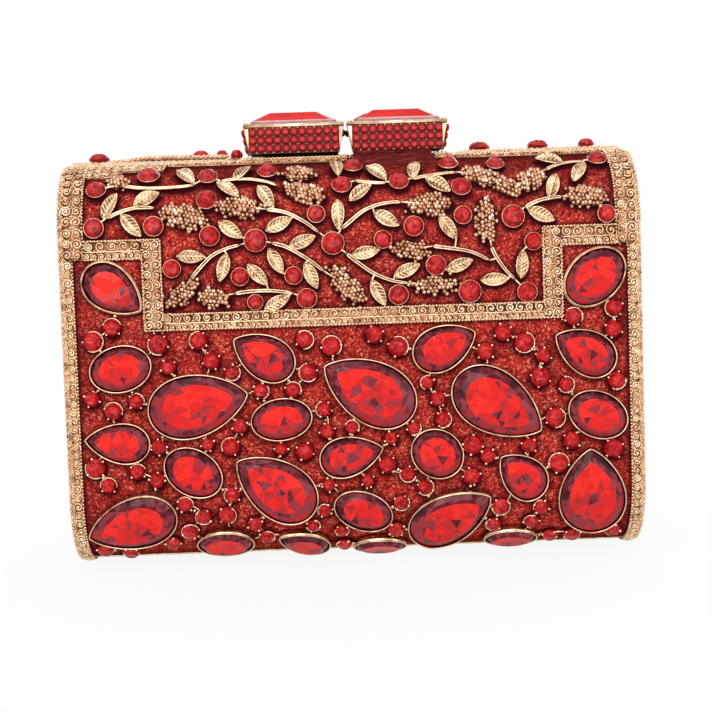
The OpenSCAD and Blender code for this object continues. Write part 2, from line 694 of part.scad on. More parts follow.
crown_share = 0.62;
module gem_stone(kind) {
    inset = 2 * bezel_wall + 2 * pin_clear;
    length = kind_shares[kind][0] * trim_unit - inset;
    width = kind_shares[kind][1] * trim_unit - inset;
    base = gem_outline(length, width, kind_shares[kind][2]);
    ring_stack([
        [for (p = base) [p[0], p[1], bezel_floor]],
        [for (p = base) [p[0], p[1], bezel_h * 0.8]],
        [for (p = base) [p[0] * crown_share, p[1] * crown_share, stone_rise]]
    ]);
}

// Runs its child at each large stone of a half: pears, or ovals
module each_large(pears) {
    for (g = large_shares) if ((kind_shares[g[3]][2] > 0) == pears) {
        $kind = g[3];
        on_skin(g, g[2]) children();
    }
    for (side = [-1, 1], g = end_large_shares) if ((kind_shares[g[3]][2] > 0) == pears) {
        $kind = g[3];
        on_end(side, g, g[2]) children();
    }
}

module pear_bezels() {
    color("#e0bd86") each_large(true) gem_bezel($kind);
}

module oval_bezels() {
    color("#e0bd86") each_large(false) gem_bezel($kind);
}

module pear_stones() {
    color("#d81a20") each_large(true) gem_stone($kind);
}

module oval_stones() {
    color("#d81a20") each_large(false) gem_stone($kind);
}

module round_stone(kind) {
    r = round_kind_shares[kind] * trim_unit / 2;
    rotate_extrude($fn = 24) polygon([[0, 0], [r, 0], [r, round_rise / 2],
        [r * 0.55, round_rise], [0, round_rise]]);
}

module round_stones(rim_shares = []) {
    color("#c8202a") {
        for (g = rim_shares) on_skin([g[0], rim_middle_share * rim_w / skin_run])
            translate([0, 0, rim_t]) round_stone(g[1]);
        for (g = upper_round_shares) on_skin(g) round_stone(g[2]);
        for (g = lower_round_shares) on_skin(g) round_stone(g[2]);
        for (side = [-1, 1], g = end_round_shares) on_end(side, g) round_stone(g[2]);
    }
}

// Stem that follows the skin: a low rounded ridge swept along its middle line
stem_lift = stem_h / 12;
stem_width_share = 0.042;
module vine_stem(line) {
    w = stem_width_share * trim_unit / 2;
    section = [[w, stem_lift], [w * 0.7, stem_lift + stem_h * 0.7], [0, stem_lift + stem_h],
        [-w * 0.7, stem_lift + stem_h * 0.7], [-w, stem_lift]];
    last = len(line) - 1;
    flat = [for (p = line) [p[0] * half_len, p[1] * skin_run]];
    ring_stack([
        for (i = [0:last])
            let (ahead = flat[min(i + 1, last)] - flat[max(i - 1, 0)])
            let (side = [ahead[1], -ahead[0]] / norm(ahead))
            [for (q = section)
                let (place = flat[i] + side * q[0])
                let (yz = offset_point(place[1], q[1]))
                [place[0], yz[0], yz[1]]]
    ]);
}

module vine_stems() {
    color("#e2c394") for (line = stem_shares) vine_stem(line);
}

// Leaf: pointed at both ends, cast over the stems that run below it
leaf_sides = 14;
leaf_h = stem_lift + stem_h + leaf_rise;
module vine_leaf() {
    length = leaf_len_share * trim_unit;
    width = leaf_width_share * trim_unit;
    linear_extrude(leaf_h) polygon([
        for (i = [0:leaf_sides - 1])
            let (t = 360 * i / leaf_sides)
            [length / 2 * cos(t), width / 2 * sin(t) * pow(abs(sin(t)), 0.4)]
    ]);
}

module vine_leaves() {
    color("#e2c394") difference() {
        union() {
            for (g = leaf_shares) on_skin(g, g[2]) vine_leaf();
        }
        vine_stems();
    }
}

// Berry cluster: a low bumpy mound
mound_sides = 12;
function mound_ring(length, width, share, z1, z2) = [
    for (i = [0:mound_sides - 1])
        let (t = 360 * i / mound_sides)
        [length / 2 * share * cos(t), width / 2 * share * sin(t), i % 2 == 0 ? z1 : z2]
];
module berry_cluster(length, width) {
    ring_stack([
        mound_ring(length, width, 1, stem_lift, stem_lift),
        mound_ring(length, width, 0.86, berry_rise * 0.7, berry_rise * 0.5),
        mound_ring(length, width, 0.4, berry_rise, berry_rise)
    ]);
}

module berry_clusters() {
    color("#d8b483") for (g = cluster_shares)
        on_skin(g, g[4]) berry_cluster(g[2] * trim_unit, g[3] * trim_unit);
}

// The back half is the front half turned half a turn about the upright axis
module turned() {
    rotate([0, 0, 180]) children();
}

shell();  // front_shell
cover();  // front_cover
end_band(-1);  // front_end_band_left
end_band(1);  // front_end_band_right
flap_band();  // front_flap_band
top_rim();  // front_top_rim
base_rim();  // front_base_rim
mouth_frame();  // front_mouth_frame
lining();  // front_lining
hinge_leaf();  // front_hinge_leaf
pear_bezels();  // front_pear_bezels
pear_stones();  // front_pear_stones
oval_bezels();  // front_oval_bezels
oval_stones();  // front_oval_stones
round_stones();  // front_round_stones
vine_stems();  // front_vine_stems
vine_leaves();  // front_vine_leaves
berry_clusters();  // front_berry_clusters
clasp_foot();  // front_clasp_foot
clasp_pivot();  // front_clasp_pivot
clasp_case();  // front_clasp_case
clasp_stem();  // front_clasp_stem
clasp_rim();  // front_clasp_rim
clasp_crystal();  // front_clasp_crystal
clasp_rhinestones();  // front_clasp_rhinestones
clasp_catch();  // front_clasp_catch
turned() shell();  // back_shell
turned() cover();  // back_cover
turned() end_band(1);  // back_end_band_left
turned() end_band(-1);  // back_end_band_right
turned() flap_band();  // back_flap_band
turned() top_rim();  // back_top_rim
turned() base_rim();  // back_base_rim
turned() mouth_frame();  // back_mouth_frame
turned() lining();  // back_lining
turned() hinge_leaf();  // back_hinge_leaf
turned() pear_bezels();  // back_pear_bezels
turned() pear_stones();  // back_pear_stones
turned() oval_bezels();  // back_oval_bezels
turned() oval_stones();  // back_oval_stones
turned() round_stones(rim_round_shares);  // back_round_stones
turned() vine_stems();  // back_vine_stems
turned() vine_leaves();  // back_vine_leaves
turned() berry_clusters();  // back_berry_clusters
turned() clasp_foot();  // back_clasp_foot
turned() clasp_pivot();  // back_clasp_pivot
turned() clasp_case();  // back_clasp_case
turned() clasp_stem();  // back_clasp_stem
turned() clasp_rim();  // back_clasp_rim
turned() clasp_crystal();  // back_clasp_crystal
turned() clasp_rhinestones();  // back_clasp_rhinestones
turned() clasp_catch();  // back_clasp_catch
hinge_pin();
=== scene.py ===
# %% [markdown]
# A hard evening bag: two half shells that open like a book on a hinge along the bottom. Red glitter
# fabric covers them, gilt filigree frames them, gilt vines grow over the upper part, and foiled
# crystals in gilt settings cover the rest. The mechanical model comes first, as a fixed frame.
# Everything after this dresses that frame, so its box is kept to compare with at the end.

# %% Load the frame
import math
import random

import bmesh
import bpy
import numpy as np
from mathutils import Matrix, Vector
from mathutils.geometry import delaunay_2d_cdt


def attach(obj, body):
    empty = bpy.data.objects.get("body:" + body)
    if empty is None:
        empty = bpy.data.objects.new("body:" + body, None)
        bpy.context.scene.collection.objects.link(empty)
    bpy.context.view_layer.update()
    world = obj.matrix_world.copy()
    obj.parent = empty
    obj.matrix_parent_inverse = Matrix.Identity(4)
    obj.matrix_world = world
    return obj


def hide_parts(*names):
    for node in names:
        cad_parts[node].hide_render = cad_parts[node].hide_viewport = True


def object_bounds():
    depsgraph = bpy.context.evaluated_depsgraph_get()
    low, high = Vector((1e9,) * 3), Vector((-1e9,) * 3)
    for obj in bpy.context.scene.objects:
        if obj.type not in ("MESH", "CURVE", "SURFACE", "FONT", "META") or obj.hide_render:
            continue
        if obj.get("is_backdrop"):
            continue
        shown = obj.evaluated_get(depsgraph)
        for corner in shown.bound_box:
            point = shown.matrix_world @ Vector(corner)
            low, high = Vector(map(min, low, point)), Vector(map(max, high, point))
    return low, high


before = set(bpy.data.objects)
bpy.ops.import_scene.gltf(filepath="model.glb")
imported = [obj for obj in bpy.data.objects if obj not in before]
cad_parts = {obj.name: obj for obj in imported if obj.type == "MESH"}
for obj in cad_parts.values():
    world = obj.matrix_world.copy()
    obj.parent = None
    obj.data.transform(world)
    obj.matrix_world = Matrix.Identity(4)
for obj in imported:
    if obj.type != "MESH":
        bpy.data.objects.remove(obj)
cad_box = [list(corner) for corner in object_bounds()]

# %% [markdown]
# The bag is drawn in millimetres. One half is a sheet that starts at the top seam, falls gently,
# turns over a rounded shoulder, runs down a flat wall and turns under. A place on it has three
# numbers: x along the bag, u up the sheet (nought at the seam and negative below it), and o, the
# lift off the fabric. Bending that flat sheet round the case puts each ornament where it belongs.

# %% The form of one half
MM = 0.001
HALF_LEN = 85.0
SKIN_HALF_LEN = 83.2
HALF_DEPTH = 25.0
BAG_H = 119.0
CORNER_R = 20.0
BASE_Z = 1.2
SEAM_Y = 0.15
TOP_FALL = math.radians(6)
FLAT_Y = HALF_DEPTH - CORNER_R
TOP_RUN = (FLAT_Y + CORNER_R * math.sin(TOP_FALL)) / math.cos(TOP_FALL)
SHOULDER_Z = BAG_H - CORNER_R * math.cos(TOP_FALL) - TOP_RUN * math.sin(TOP_FALL)
WALL_START = TOP_RUN + CORNER_R * (math.pi / 2 - TOP_FALL)
FOOT_START = WALL_START + SHOULDER_Z - BASE_Z - CORNER_R
UNDER_START = FOOT_START + CORNER_R * math.pi / 2
SKIN_RUN = UNDER_START + FLAT_Y


def lean(s):
    """Angle of the outward normal from upright, at s down the sheet."""
    return np.select(
        [s < TOP_RUN, s < WALL_START, s < FOOT_START, s < UNDER_START],
        [TOP_FALL + 0 * s, TOP_FALL + (s - TOP_RUN) / CORNER_R, math.pi / 2 + 0 * s,
         math.pi / 2 + (s - FOOT_START) / CORNER_R], math.pi)


def wrap(sheet):
    """Bend points (x, u, o) of the flat sheet round the case. Nothing reaches below the floor."""
    sheet = np.asarray(sheet, float)
    x, s, o = sheet[:, 0], -sheet[:, 1], sheet[:, 2]
    a = lean(s)
    bent_y = -FLAT_Y - CORNER_R * np.sin(a)
    y = np.select(
        [s < TOP_RUN, s < WALL_START, s < FOOT_START, s < UNDER_START],
        [-s * math.cos(TOP_FALL), bent_y, -HALF_DEPTH + 0 * s, bent_y], -FLAT_Y + s - UNDER_START)
    z = np.select(
        [s < TOP_RUN, s < WALL_START, s < FOOT_START, s < UNDER_START],
        [BAG_H - s * math.sin(TOP_FALL), SHOULDER_Z + CORNER_R * np.cos(a),
         SHOULDER_Z - (s - WALL_START), BASE_Z + CORNER_R + CORNER_R * np.cos(a)], BASE_Z)
    return np.stack([x, y - o * np.sin(a), np.maximum(z + o * np.cos(a), 0)], 1)


def turned(points, degrees):
    """Turn points in their own plane, x towards y."""
    c, s = math.cos(math.radians(degrees)), math.sin(math.radians(degrees))
    points = np.asarray(points, float)
    flat = [points[:, 0] * c - points[:, 1] * s, points[:, 0] * s + points[:, 1] * c]
    return np.stack(flat + [points[:, k] for k in range(2, points.shape[1])], 1)


def sheet_place(x_share, run_share):
    return np.array([x_share * HALF_LEN, -run_share * SKIN_RUN])


def laid(points, place, degrees=0):
    """A soft ornament at a place: it bends with the sheet."""
    points = turned(points, degrees)
    points[:, :2] += place
    return wrap(points)


def seated(points, place, degrees=0):
    """A stiff ornament at a place: it stays flat and touches the sheet at its middle."""
    points = turned(points, degrees)
    s = np.array([-place[1]])
    a = float(lean(s)[0])
    origin = wrap([[place[0], place[1], 0]])[0]
    up = np.array([0, math.cos(a), math.sin(a)])
    out = np.array([0, -math.sin(a), math.cos(a)])
    return origin + points[:, :1] * [1, 0, 0] + points[:, 1:2] * up + points[:, 2:3] * out


def seated_on_end(points, side, place, degrees=0):
    """A stiff ornament on an end face, at (depth, height) in millimetres."""
    points = turned(points, degrees)
    origin = np.array([side * SKIN_HALF_LEN, -place[0], place[1]])
    return origin + points @ np.array([[0, side, 0], [0, 0, 1], [side, 0, 0]], float)


print("run of the sheet:", round(SKIN_RUN, 2), "mm, shoulder at", round(SHOULDER_Z, 2), "mm")

# %% [markdown]
# Every ornament is swept or lofted from rings of points, as a goldsmith draws wire through a
# plate. The rings go into a heap, and each heap becomes one piece of the bag. Hundreds of curls
# in one mesh are quick to render and easy to move. A face also carries a tone, a number that the
# finishes later turn into a lighter or darker colour, much of it painted light and shade, and the
# number of its finish.

# %% Heaps, lofts and wires
def heap():
    return {"points": [], "faces": [], "tones": [], "finish": [], "size": 0}


def put(pile, points, faces, tone=0.5, finish=0):
    start = pile["size"]
    pile["points"].append(np.asarray(points, float))
    pile["faces"].extend(tuple(start + i for i in face) for face in faces)
    pile["tones"].extend(tone if hasattr(tone, "__len__") else [tone] * len(faces))
    pile["finish"].extend([finish] * len(faces))
    pile["size"] += len(points)


def loft(rings, closed_ends=True):
    """Points and faces of a solid run through rings that have the same number of points."""
    rings = np.asarray(rings, float)
    tiers, n = rings.shape[:2]
    faces = [(k * n + j, k * n + (j + 1) % n, (k + 1) * n + (j + 1) % n, (k + 1) * n + j)
             for k in range(tiers - 1) for j in range(n)]
    if closed_ends:
        faces += [tuple(range(n - 1, -1, -1)), tuple(range((tiers - 1) * n, tiers * n))]
    return rings.reshape(-1, 3), faces


def wire(line, thickness, sides=6, looped=False):
    """A round wire along points (x, y, o). Thickness is its radius, one or one a point."""
    line = np.asarray(line, float)
    if looped:
        along = np.roll(line, -1, 0) - np.roll(line, 1, 0)
    else:
        along = np.gradient(line, axis=0)
    along /= np.linalg.norm(along, axis=1)[:, None] + 1e-9
    across = np.stack([-along[:, 1], along[:, 0], 0 * along[:, 0]], 1)
    across /= np.linalg.norm(across, axis=1)[:, None] + 1e-9
    up = np.cross(along, across)
    angle = np.arange(sides) * 2 * math.pi / sides
    thickness = np.broadcast_to(np.asarray(thickness, float), (len(line),))
    rings = line[:, None] + thickness[:, None, None] * (
        np.cos(angle)[None, :, None] * across[:, None] + np.sin(angle)[None, :, None] * up[:, None])
    if looped:
        rings = np.concatenate([rings, rings[:1]])
    return loft(rings, closed_ends=not looped)


def lathe(profile, sides):
    """A turned form from (radius, height) pairs."""
    angle = np.arange(sides) * 2 * math.pi / sides
    return loft([np.stack([r * np.cos(angle), r * np.sin(angle), z + 0 * angle], 1)
                 for r, z in profile])


def smooth_line(points, count):
    """A flowing line through a few given points."""
    points = np.asarray(points, float)
    ends = np.concatenate([[2 * points[0] - points[1]], points, [2 * points[-1] - points[-2]]])
    made = []
    for t in np.linspace(0, len(points) - 1 - 1e-6, count):
        i, f = int(t), t - int(t)
        a, b, c, d = ends[i:i + 4]
        made.append(0.5 * (2 * b + (c - a) * f + (2 * a - 5 * b + 4 * c - d) * f * f
                           + (3 * b - a - 3 * c + d) * f ** 3))
    return np.array(made)


def grain_form():
    """The corners and faces of a small ball with twenty flat sides, cut once more."""
    ball = bmesh.new()
    bmesh.ops.create_icosphere(ball, subdivisions=2, radius=1)
    points = np.array([v.co[:] for v in ball.verts])
    faces = [tuple(v.index for v in f.verts) for f in ball.faces]
    ball.free()
    return points, faces


GRAIN, GRAIN_FACES = grain_form()


def put_bent(pile, form, bend, tone=0.5, finish=0):
    """Put a wire, a loft or a turned form on the heap, bent to where it belongs."""
    points, faces = form
    put(pile, bend(points), faces, tone, finish)


def put_grain(pile, radius, place, bend, tone=0.5):
    put(pile, bend(GRAIN * radius + place), GRAIN_FACES, tone)


chance = random.Random(7)
print("a gilt grain has", len(GRAIN_FACES), "faces")


# %% [markdown]
# A heap becomes two pieces: one for the front half and the same turned half a turn for the back.
# The back of the real bag is not seen, and such bags repeat the front there. Each piece rides on
# the body that carries it, takes its finish from a slot, and stands for the plain solids it covers.

# %% Turn heaps into pieces
SIDES = {"front": 1, "back": -1}


def add_object(name, data):
    made = bpy.data.objects.new(name, data)
    bpy.context.scene.collection.objects.link(made)
    return made


def write_tones(mesh, tones):
    """Keep one tone for each corner of each face, as a grey that the finishes can read."""
    greys = np.stack([tones, tones, tones, 1 + 0 * tones], 1)
    mesh.color_attributes["tone"].data.foreach_set("color", greys.ravel())


def make_piece(name, pile, finishes, body, side=1, stands_for=(), smooth=True, solid=True):
    points = np.concatenate(pile["points"]) * [side, side, 1] * MM
    mesh = bpy.data.meshes.new(name)
    mesh.from_pydata(points.tolist(), [], pile["faces"])
    if solid:
        form = bmesh.new()
        form.from_mesh(mesh)
        bmesh.ops.recalc_face_normals(form, faces=form.faces)
        form.to_mesh(mesh)
        form.free()
    mesh.polygons.foreach_set("use_smooth", [smooth] * len(mesh.polygons))
    mesh.polygons.foreach_set("material_index", pile["finish"])
    mesh.color_attributes.new("tone", "FLOAT_COLOR", "CORNER")
    write_tones(mesh, np.repeat(np.asarray(pile["tones"], float), [len(f) for f in pile["faces"]]))
    for finish in finishes:
        mesh.materials.append(finish)
    piece = add_object(name, mesh)
    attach(piece, body)
    if stands_for:
        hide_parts(*stands_for)
    print(f"{name}: {len(mesh.polygons)} faces")
    return piece


def make_pair(name, pile, finishes, nodes=(), carrier="half", smooth=True, solid=True):
    return [make_piece(f"{end}_{name}", pile, finishes, f"{end}_{carrier}", side,
                       [f"{end}_{node}" for node in nodes], smooth, solid)
            for end, side in SIDES.items()]


# %% [markdown]
# The finishes. Colours are written as on a screen, so one function turns them to the linear
# values that light is counted in. One more function adds a node, sets it and links it. The small
# ones after it make the clouds, cells and relief that every finish below is built from.

# %% Colours and nodes
def colour(hex_code):
    parts = [int(hex_code[i:i + 2], 16) / 255 for i in (1, 3, 5)]
    return tuple(p / 12.92 if p <= 0.04045 else ((p + 0.055) / 1.055) ** 2.4 for p in parts) + (1,)


def add_node(tree, kind, settings=None, **inputs):
    """Add one node. Settings are its own properties; inputs are values or sockets to link."""
    node = tree.nodes.new(kind)
    for key, value in (settings or {}).items():
        setattr(node, key, value)
    for key, value in inputs.items():
        socket = node.inputs[int(key[1:]) if key[0] == "i" and key[1:].isdigit()
                             else key.replace("_", " ")]
        if isinstance(value, bpy.types.NodeSocket):
            tree.links.new(value, socket)
        else:
            socket.default_value = value
    return node


def new_finish(name):
    material = bpy.data.materials.new(name)
    material.use_nodes = True
    tree = material.node_tree
    return material, tree, tree.nodes["Principled BSDF"]


def shade_stops(tree, factor, stops):
    """Spread a number over colours, as dye over a cloth."""
    ramp = add_node(tree, "ShaderNodeValToRGB", Fac=factor)
    while len(ramp.color_ramp.elements) < len(stops):
        ramp.color_ramp.elements.new(0.5)
    for element, (place, hex_code) in zip(ramp.color_ramp.elements, stops):
        element.position = place
        element.color = colour(hex_code)
    return ramp.outputs["Color"]


def object_place(tree):
    return add_node(tree, "ShaderNodeTexCoord").outputs["Object"]


def face_tone(tree):
    return add_node(tree, "ShaderNodeAttribute", {"attribute_name": "tone"}).outputs["Fac"]


def noise(tree, place, size, detail=2.0):
    """A cloudy pattern. Size is that of its clouds in millimetres."""
    return add_node(tree, "ShaderNodeTexNoise", Vector=place, Scale=1 / (size * MM),
                    Detail=detail).outputs["Fac"]


def cells(tree, place, size):
    """Cells of about one size in millimetres: a colour for each, and a number for each."""
    colours = add_node(tree, "ShaderNodeTexVoronoi", Vector=place, Scale=1 / (size * MM))
    parts = add_node(tree, "ShaderNodeSeparateColor", Color=colours.outputs["Color"])
    return colours.outputs["Color"], parts.outputs["Red"]


def maths(tree, operation, first, second, clamp=False):
    return add_node(tree, "ShaderNodeMath", {"operation": operation, "use_clamp": clamp},
                    i0=first, i1=second).outputs["Value"]


def raise_by(tree, shader, pattern, strength, depth):
    """Let a pattern raise the surface. Depth is in millimetres."""
    bump = add_node(tree, "ShaderNodeBump", Height=pattern, Strength=strength, Distance=depth * MM)
    tree.links.new(bump.outputs["Normal"], shader.inputs["Normal"])


# %% [markdown]
# Gilt metal: zinc alloy cast in rubber moulds, then plated with a thin pale gold. The eye sees
# a bright, slightly rosy yellow with soft edges, and small cast pits that break up the shine. The
# pits of a real casting are near 0.05 mm, too fine to show, so they are drawn at 0.5 mm. Plating
# is thin and dull in hollows, and the tone of a face paints in shade and highlight as well: a low
# tone turns it brown, painted shade in the hollows, and a high one near white, a painted highlight.

# %% Gilt casting
def gilt_casting(name, bright, dull, rough, pit=0.25):
    material, tree, shader = new_finish(name)
    place = object_place(tree)
    pits = noise(tree, place, 0.5)
    # The face tone is painted light: it darkens hollows and turns ridges and veins near white.
    height = add_node(tree, "ShaderNodeMapRange", Value=face_tone(tree), To_Min=-0.45, To_Max=0.45)
    total = maths(tree, "ADD", noise(tree, place, 2.4, 3.0), height.outputs["Result"], True)
    tone = shade_stops(tree, total, [(0.08, "#6E4630"), (0.34, dull), (0.62, bright),
                                     (0.95, "#FFF2DC")])
    tree.links.new(tone, shader.inputs["Base Color"])
    spread = add_node(tree, "ShaderNodeMapRange", Value=pits,
                      To_Min=rough - 0.08, To_Max=rough + 0.1)
    tree.links.new(spread.outputs["Result"], shader.inputs["Roughness"])
    raise_by(tree, shader, pits, pit, 0.05)
    shader.inputs["Metallic"].default_value = 1.0
    return material


filigree_gilt = gilt_casting("gilt filigree casting", "#EACAA8", "#D2A682", 0.3)
vine_gilt = gilt_casting("gilt vine casting", "#F4DAB6", "#D6B08A", 0.26)
berry_gilt = gilt_casting("rosy gilt berry casting", "#CEA486", "#AE7C5E", 0.3)
setting_gilt = gilt_casting("gilt setting wire", "#EED4B4", "#CFA884", 0.2, pit=0.1)
# Duller plating, and darker as painted shade in the recesses.
recess_gilt_and_shade = gilt_casting("dull gilt in the recesses", "#CFA07C", "#A07254", 0.5)
pale_gilt = gilt_casting("pale gilt edging", "#F0D2AC", "#D6AE86", 0.28)
brass = gilt_casting("polished brass", "#E8C27A", "#C79A52", 0.25, pit=0.1)
print("finishes so far:", len(bpy.data.materials))

# %% [markdown]
# Glitter fabric: flakes of red foil glued to a cotton back. Each flake lies at its own angle, so
# one shines while its neighbour is dark. Real flakes are 0.2 to 0.35 mm across, which is under a
# dot of the picture, so they are drawn at 0.44 mm. Each cell of the pattern gets one shade and one
# tilt, and the shade, which runs up to a pale orange, is the shine of the flake painted in. The glue
# over them is matt, so the cloth itself has no gloss even where it is seen edge on. The tone of each
# face mixes in a dark red, which is painted shade.

# %% Glitter fabric
def glitter_fabric():
    material, tree, shader = new_finish("red glitter fabric")
    flakes, flake = cells(tree, object_place(tree), 0.44)
    tone = shade_stops(tree, flake, [
        (0.0, "#6A1A1C"), (0.3, "#AE2A2A"), (0.6, "#CE3A32"), (0.85, "#E25644"), (0.98, "#F6A284")])
    # Painted shade: the face tone mixes in a dark red.
    painted_shade_mix = add_node(tree, "ShaderNodeMix", {"data_type": "RGBA"}, i0=face_tone(tree),
                      i6=colour("#46101A"), i7=tone)
    tree.links.new(painted_shade_mix.outputs[2], shader.inputs["Base Color"])
    centred = add_node(tree, "ShaderNodeVectorMath", {"operation": "SUBTRACT"},
                       i0=flakes, i1=(0.5, 0.5, 0.5))
    tilt = add_node(tree, "ShaderNodeVectorMath", {"operation": "SCALE"},
                    i0=centred.outputs["Vector"], Scale=0.8)
    upright = add_node(tree, "ShaderNodeNewGeometry").outputs["Normal"]
    leaning = add_node(tree, "ShaderNodeVectorMath", {"operation": "ADD"},
                       i0=upright, i1=tilt.outputs["Vector"])
    unit = add_node(tree, "ShaderNodeVectorMath", {"operation": "NORMALIZE"},
                    i0=leaning.outputs["Vector"])
    tree.links.new(unit.outputs["Vector"], shader.inputs["Normal"])
    shader.inputs["Roughness"].default_value = 0.5
    shader.inputs["Specular IOR Level"].default_value = 0.0
    return material


glitter = glitter_fabric()

# %% [markdown]
# Foiled crystal: pressed lead glass, cut on top and silvered behind with a red foil. Light goes
# in, bounces off the foil at the back facets and comes out in patches, bright where the foil
# faces the light and dark where it does not. Those patches are painted: each facet's tone picks
# its red, lighter or darker as the light would fall, and the polished top adds the reflections.

# %% Foiled crystal
def foiled_crystal(name, stops, patch, spread):
    """Patch is the size of a foil patch in millimetres, spread how far it shifts the tone."""
    material, tree, shader = new_finish(name)
    total = face_tone(tree)
    for size, darker, lighter in ((patch, -spread, spread * 0.6), (patch * 0.45, -spread * 0.8, 0.08)):
        _, foil = cells(tree, object_place(tree), size)
        shift = add_node(tree, "ShaderNodeMapRange", Value=foil,
                         From_Min=0.0, From_Max=0.45, To_Min=darker, To_Max=lighter)
        total = maths(tree, "ADD", total, shift.outputs["Result"], True)
    tree.links.new(shade_stops(tree, total, stops), shader.inputs["Base Color"])
    shader.inputs["Roughness"].default_value = 0.07
    shader.inputs["Specular IOR Level"].default_value = 0.2
    return material


large_crystal = foiled_crystal("red foiled crystal", [
    (0.0, "#2A0610"), (0.12, "#4E0C18"), (0.26, "#721828"), (0.38, "#90404E"), (0.5, "#AE2830"),
    (0.66, "#D02A2E"), (0.8, "#F01E1C"), (1.0, "#FF3028")], 4.6, 0.1)
small_crystal = foiled_crystal("small red foiled crystal", [
    (0.0, "#3A060C"), (0.25, "#7C0A12"), (0.5, "#B01218"), (0.75, "#D01E22"), (1.0, "#EC4440")],
    1.7, 0.14)
chip_crystal = foiled_crystal("deep red foiled rhinestone", [
    (0.0, "#2A060C"), (0.4, "#960C14"), (0.75, "#C6181E"), (1.0, "#E64642")], 1.0, 0.12)
# Painted light: the clear edge is pale pink, as the white light seen through and off the glass.
painted_pale_edge = foiled_crystal("clear glass edge", [
    (0.0, "#8A4850"), (0.6, "#C88C92"), (1.0, "#E8C8CA")], 3.0, 0.1)
# Painted shadow: a near-black red for the gap inside each setting and the seam under the rim braids.
gap_shadow = foiled_crystal("shadow between wire and glass", [
    (0.0, "#14060A"), (1.0, "#2A0C12")], 2.0, 0.1)
print("finishes so far:", len(bpy.data.materials))

# %% [markdown]
# Fabric cover and lining are both stretched tight and glued, so they have no folds. Each is one
# sheet over the curve with a flat piece at each end, and a narrow return that turns in at the
# mouth. A fine grid keeps the curve smooth where the solid below has flat steps.

# %% A glued sheet
SLOT_Y = 2.3
SLOT_TOP = 4.6


def tray(pile, o, end_x, step, flipped=False):
    """The curved wall and the two flat ends of one half, at lift o. Returns the flat sheet."""
    s_start = (SEAM_Y - o * math.sin(TOP_FALL)) / math.cos(TOP_FALL)
    s_end = SKIN_RUN - SLOT_Y
    stops = [s_start, TOP_RUN, WALL_START, FOOT_START, UNDER_START, s_end]
    runs = np.unique(np.concatenate([np.linspace(a, b, int((b - a) / step) + 2)
                                     for a, b in zip(stops, stops[1:])]))
    across = np.linspace(-end_x, end_x, int(2 * end_x / step) + 1)
    n = len(across)
    points = np.array([(x, -s, o) for s in runs for x in across])
    quads = [(i * n + j, i * n + j + 1, (i + 1) * n + j + 1, (i + 1) * n + j)
             for i in range(len(runs) - 1) for j in range(n - 1)]
    put(pile, wrap(points), quads if flipped else [q[::-1] for q in quads])
    profile = wrap([(0, -s, o) for s in runs])
    closing = [[0, -SLOT_Y, SLOT_TOP], [0, -SEAM_Y, SLOT_TOP]]
    outline = np.concatenate([profile, closing])
    for side in (-1, 1):
        end = outline + [side * end_x, 0, 0]
        order = list(range(len(end)))
        put(pile, end, [order if (side > 0) != flipped else order[::-1]])
    return points


def mouth_return(pile, outer_o, inner_o, outer_x, inner_x):
    """The edge of a layer at the seam, from its outer to its inner face."""
    outer_z, inner_z = (BAG_H + o / math.cos(TOP_FALL) - 0.1 for o in (outer_o, inner_o))
    y = -SEAM_Y
    corners = np.array([
        (-outer_x, y, SLOT_TOP), (-outer_x, y, outer_z), (outer_x, y, outer_z), (outer_x, y, SLOT_TOP),
        (-inner_x, y, SLOT_TOP), (-inner_x, y, inner_z), (inner_x, y, inner_z), (inner_x, y, SLOT_TOP)])
    put(pile, corners, [(0, 1, 5, 4), (1, 2, 6, 5), (2, 3, 7, 6)])


# %% [markdown]
# Filigree is wire curled into scrolls and soldered between border wires. On a cast bag a mould
# has taken all of that in one go, but the eye still reads curls, borders and dark recesses. So
# each band is a dull back plate, rows of spiral scrolls above it, and a bright wire or a row of
# grains at each edge. Scrolls are 1.6 to 3.5 mm across, of wire about 0.5 mm thick. In every heap
# of filigree the first finish is the bright gilt and the second the dull gilt of the recesses,
# which is darker as painted shade as well as duller.

# %% Scrolls, border wires and grains
PLATE_BASE = 0.05
RECESS = 1
SCROLL_POINTS = 18
SCROLL_PITCH = 2.15


def scroll(radius, turns):
    """A spiral that opens from its eye and runs off to its neighbour."""
    share = np.linspace(0, 1, SCROLL_POINTS)
    angle = 2 * math.pi * turns * (share - 1) - math.pi / 2
    reach = radius * (0.14 + 0.86 * share)
    line = np.stack([reach * np.cos(angle), reach * np.sin(angle)], 1)
    return np.concatenate([line, [[radius * 0.75, -radius * 0.96], [radius * 1.3, -radius * 0.7]]])


def line_down(x, u1, u2):
    """The ends of a line that runs down the sheet."""
    return (x, u1), (x, u2)


def line_along(x1, x2, u):
    """The ends of a line that runs along the bag."""
    return (x1, u), (x2, u)


def along_band(start, end, pitch):
    """Middles and heading of evenly spaced places from start to end."""
    start, end = np.array(start, float), np.array(end, float)
    length = np.linalg.norm(end - start)
    count = max(1, round(length / pitch))
    places = [start + (end - start) * (i + 0.5) / count for i in range(count)]
    return places, (end - start) / length, length / count


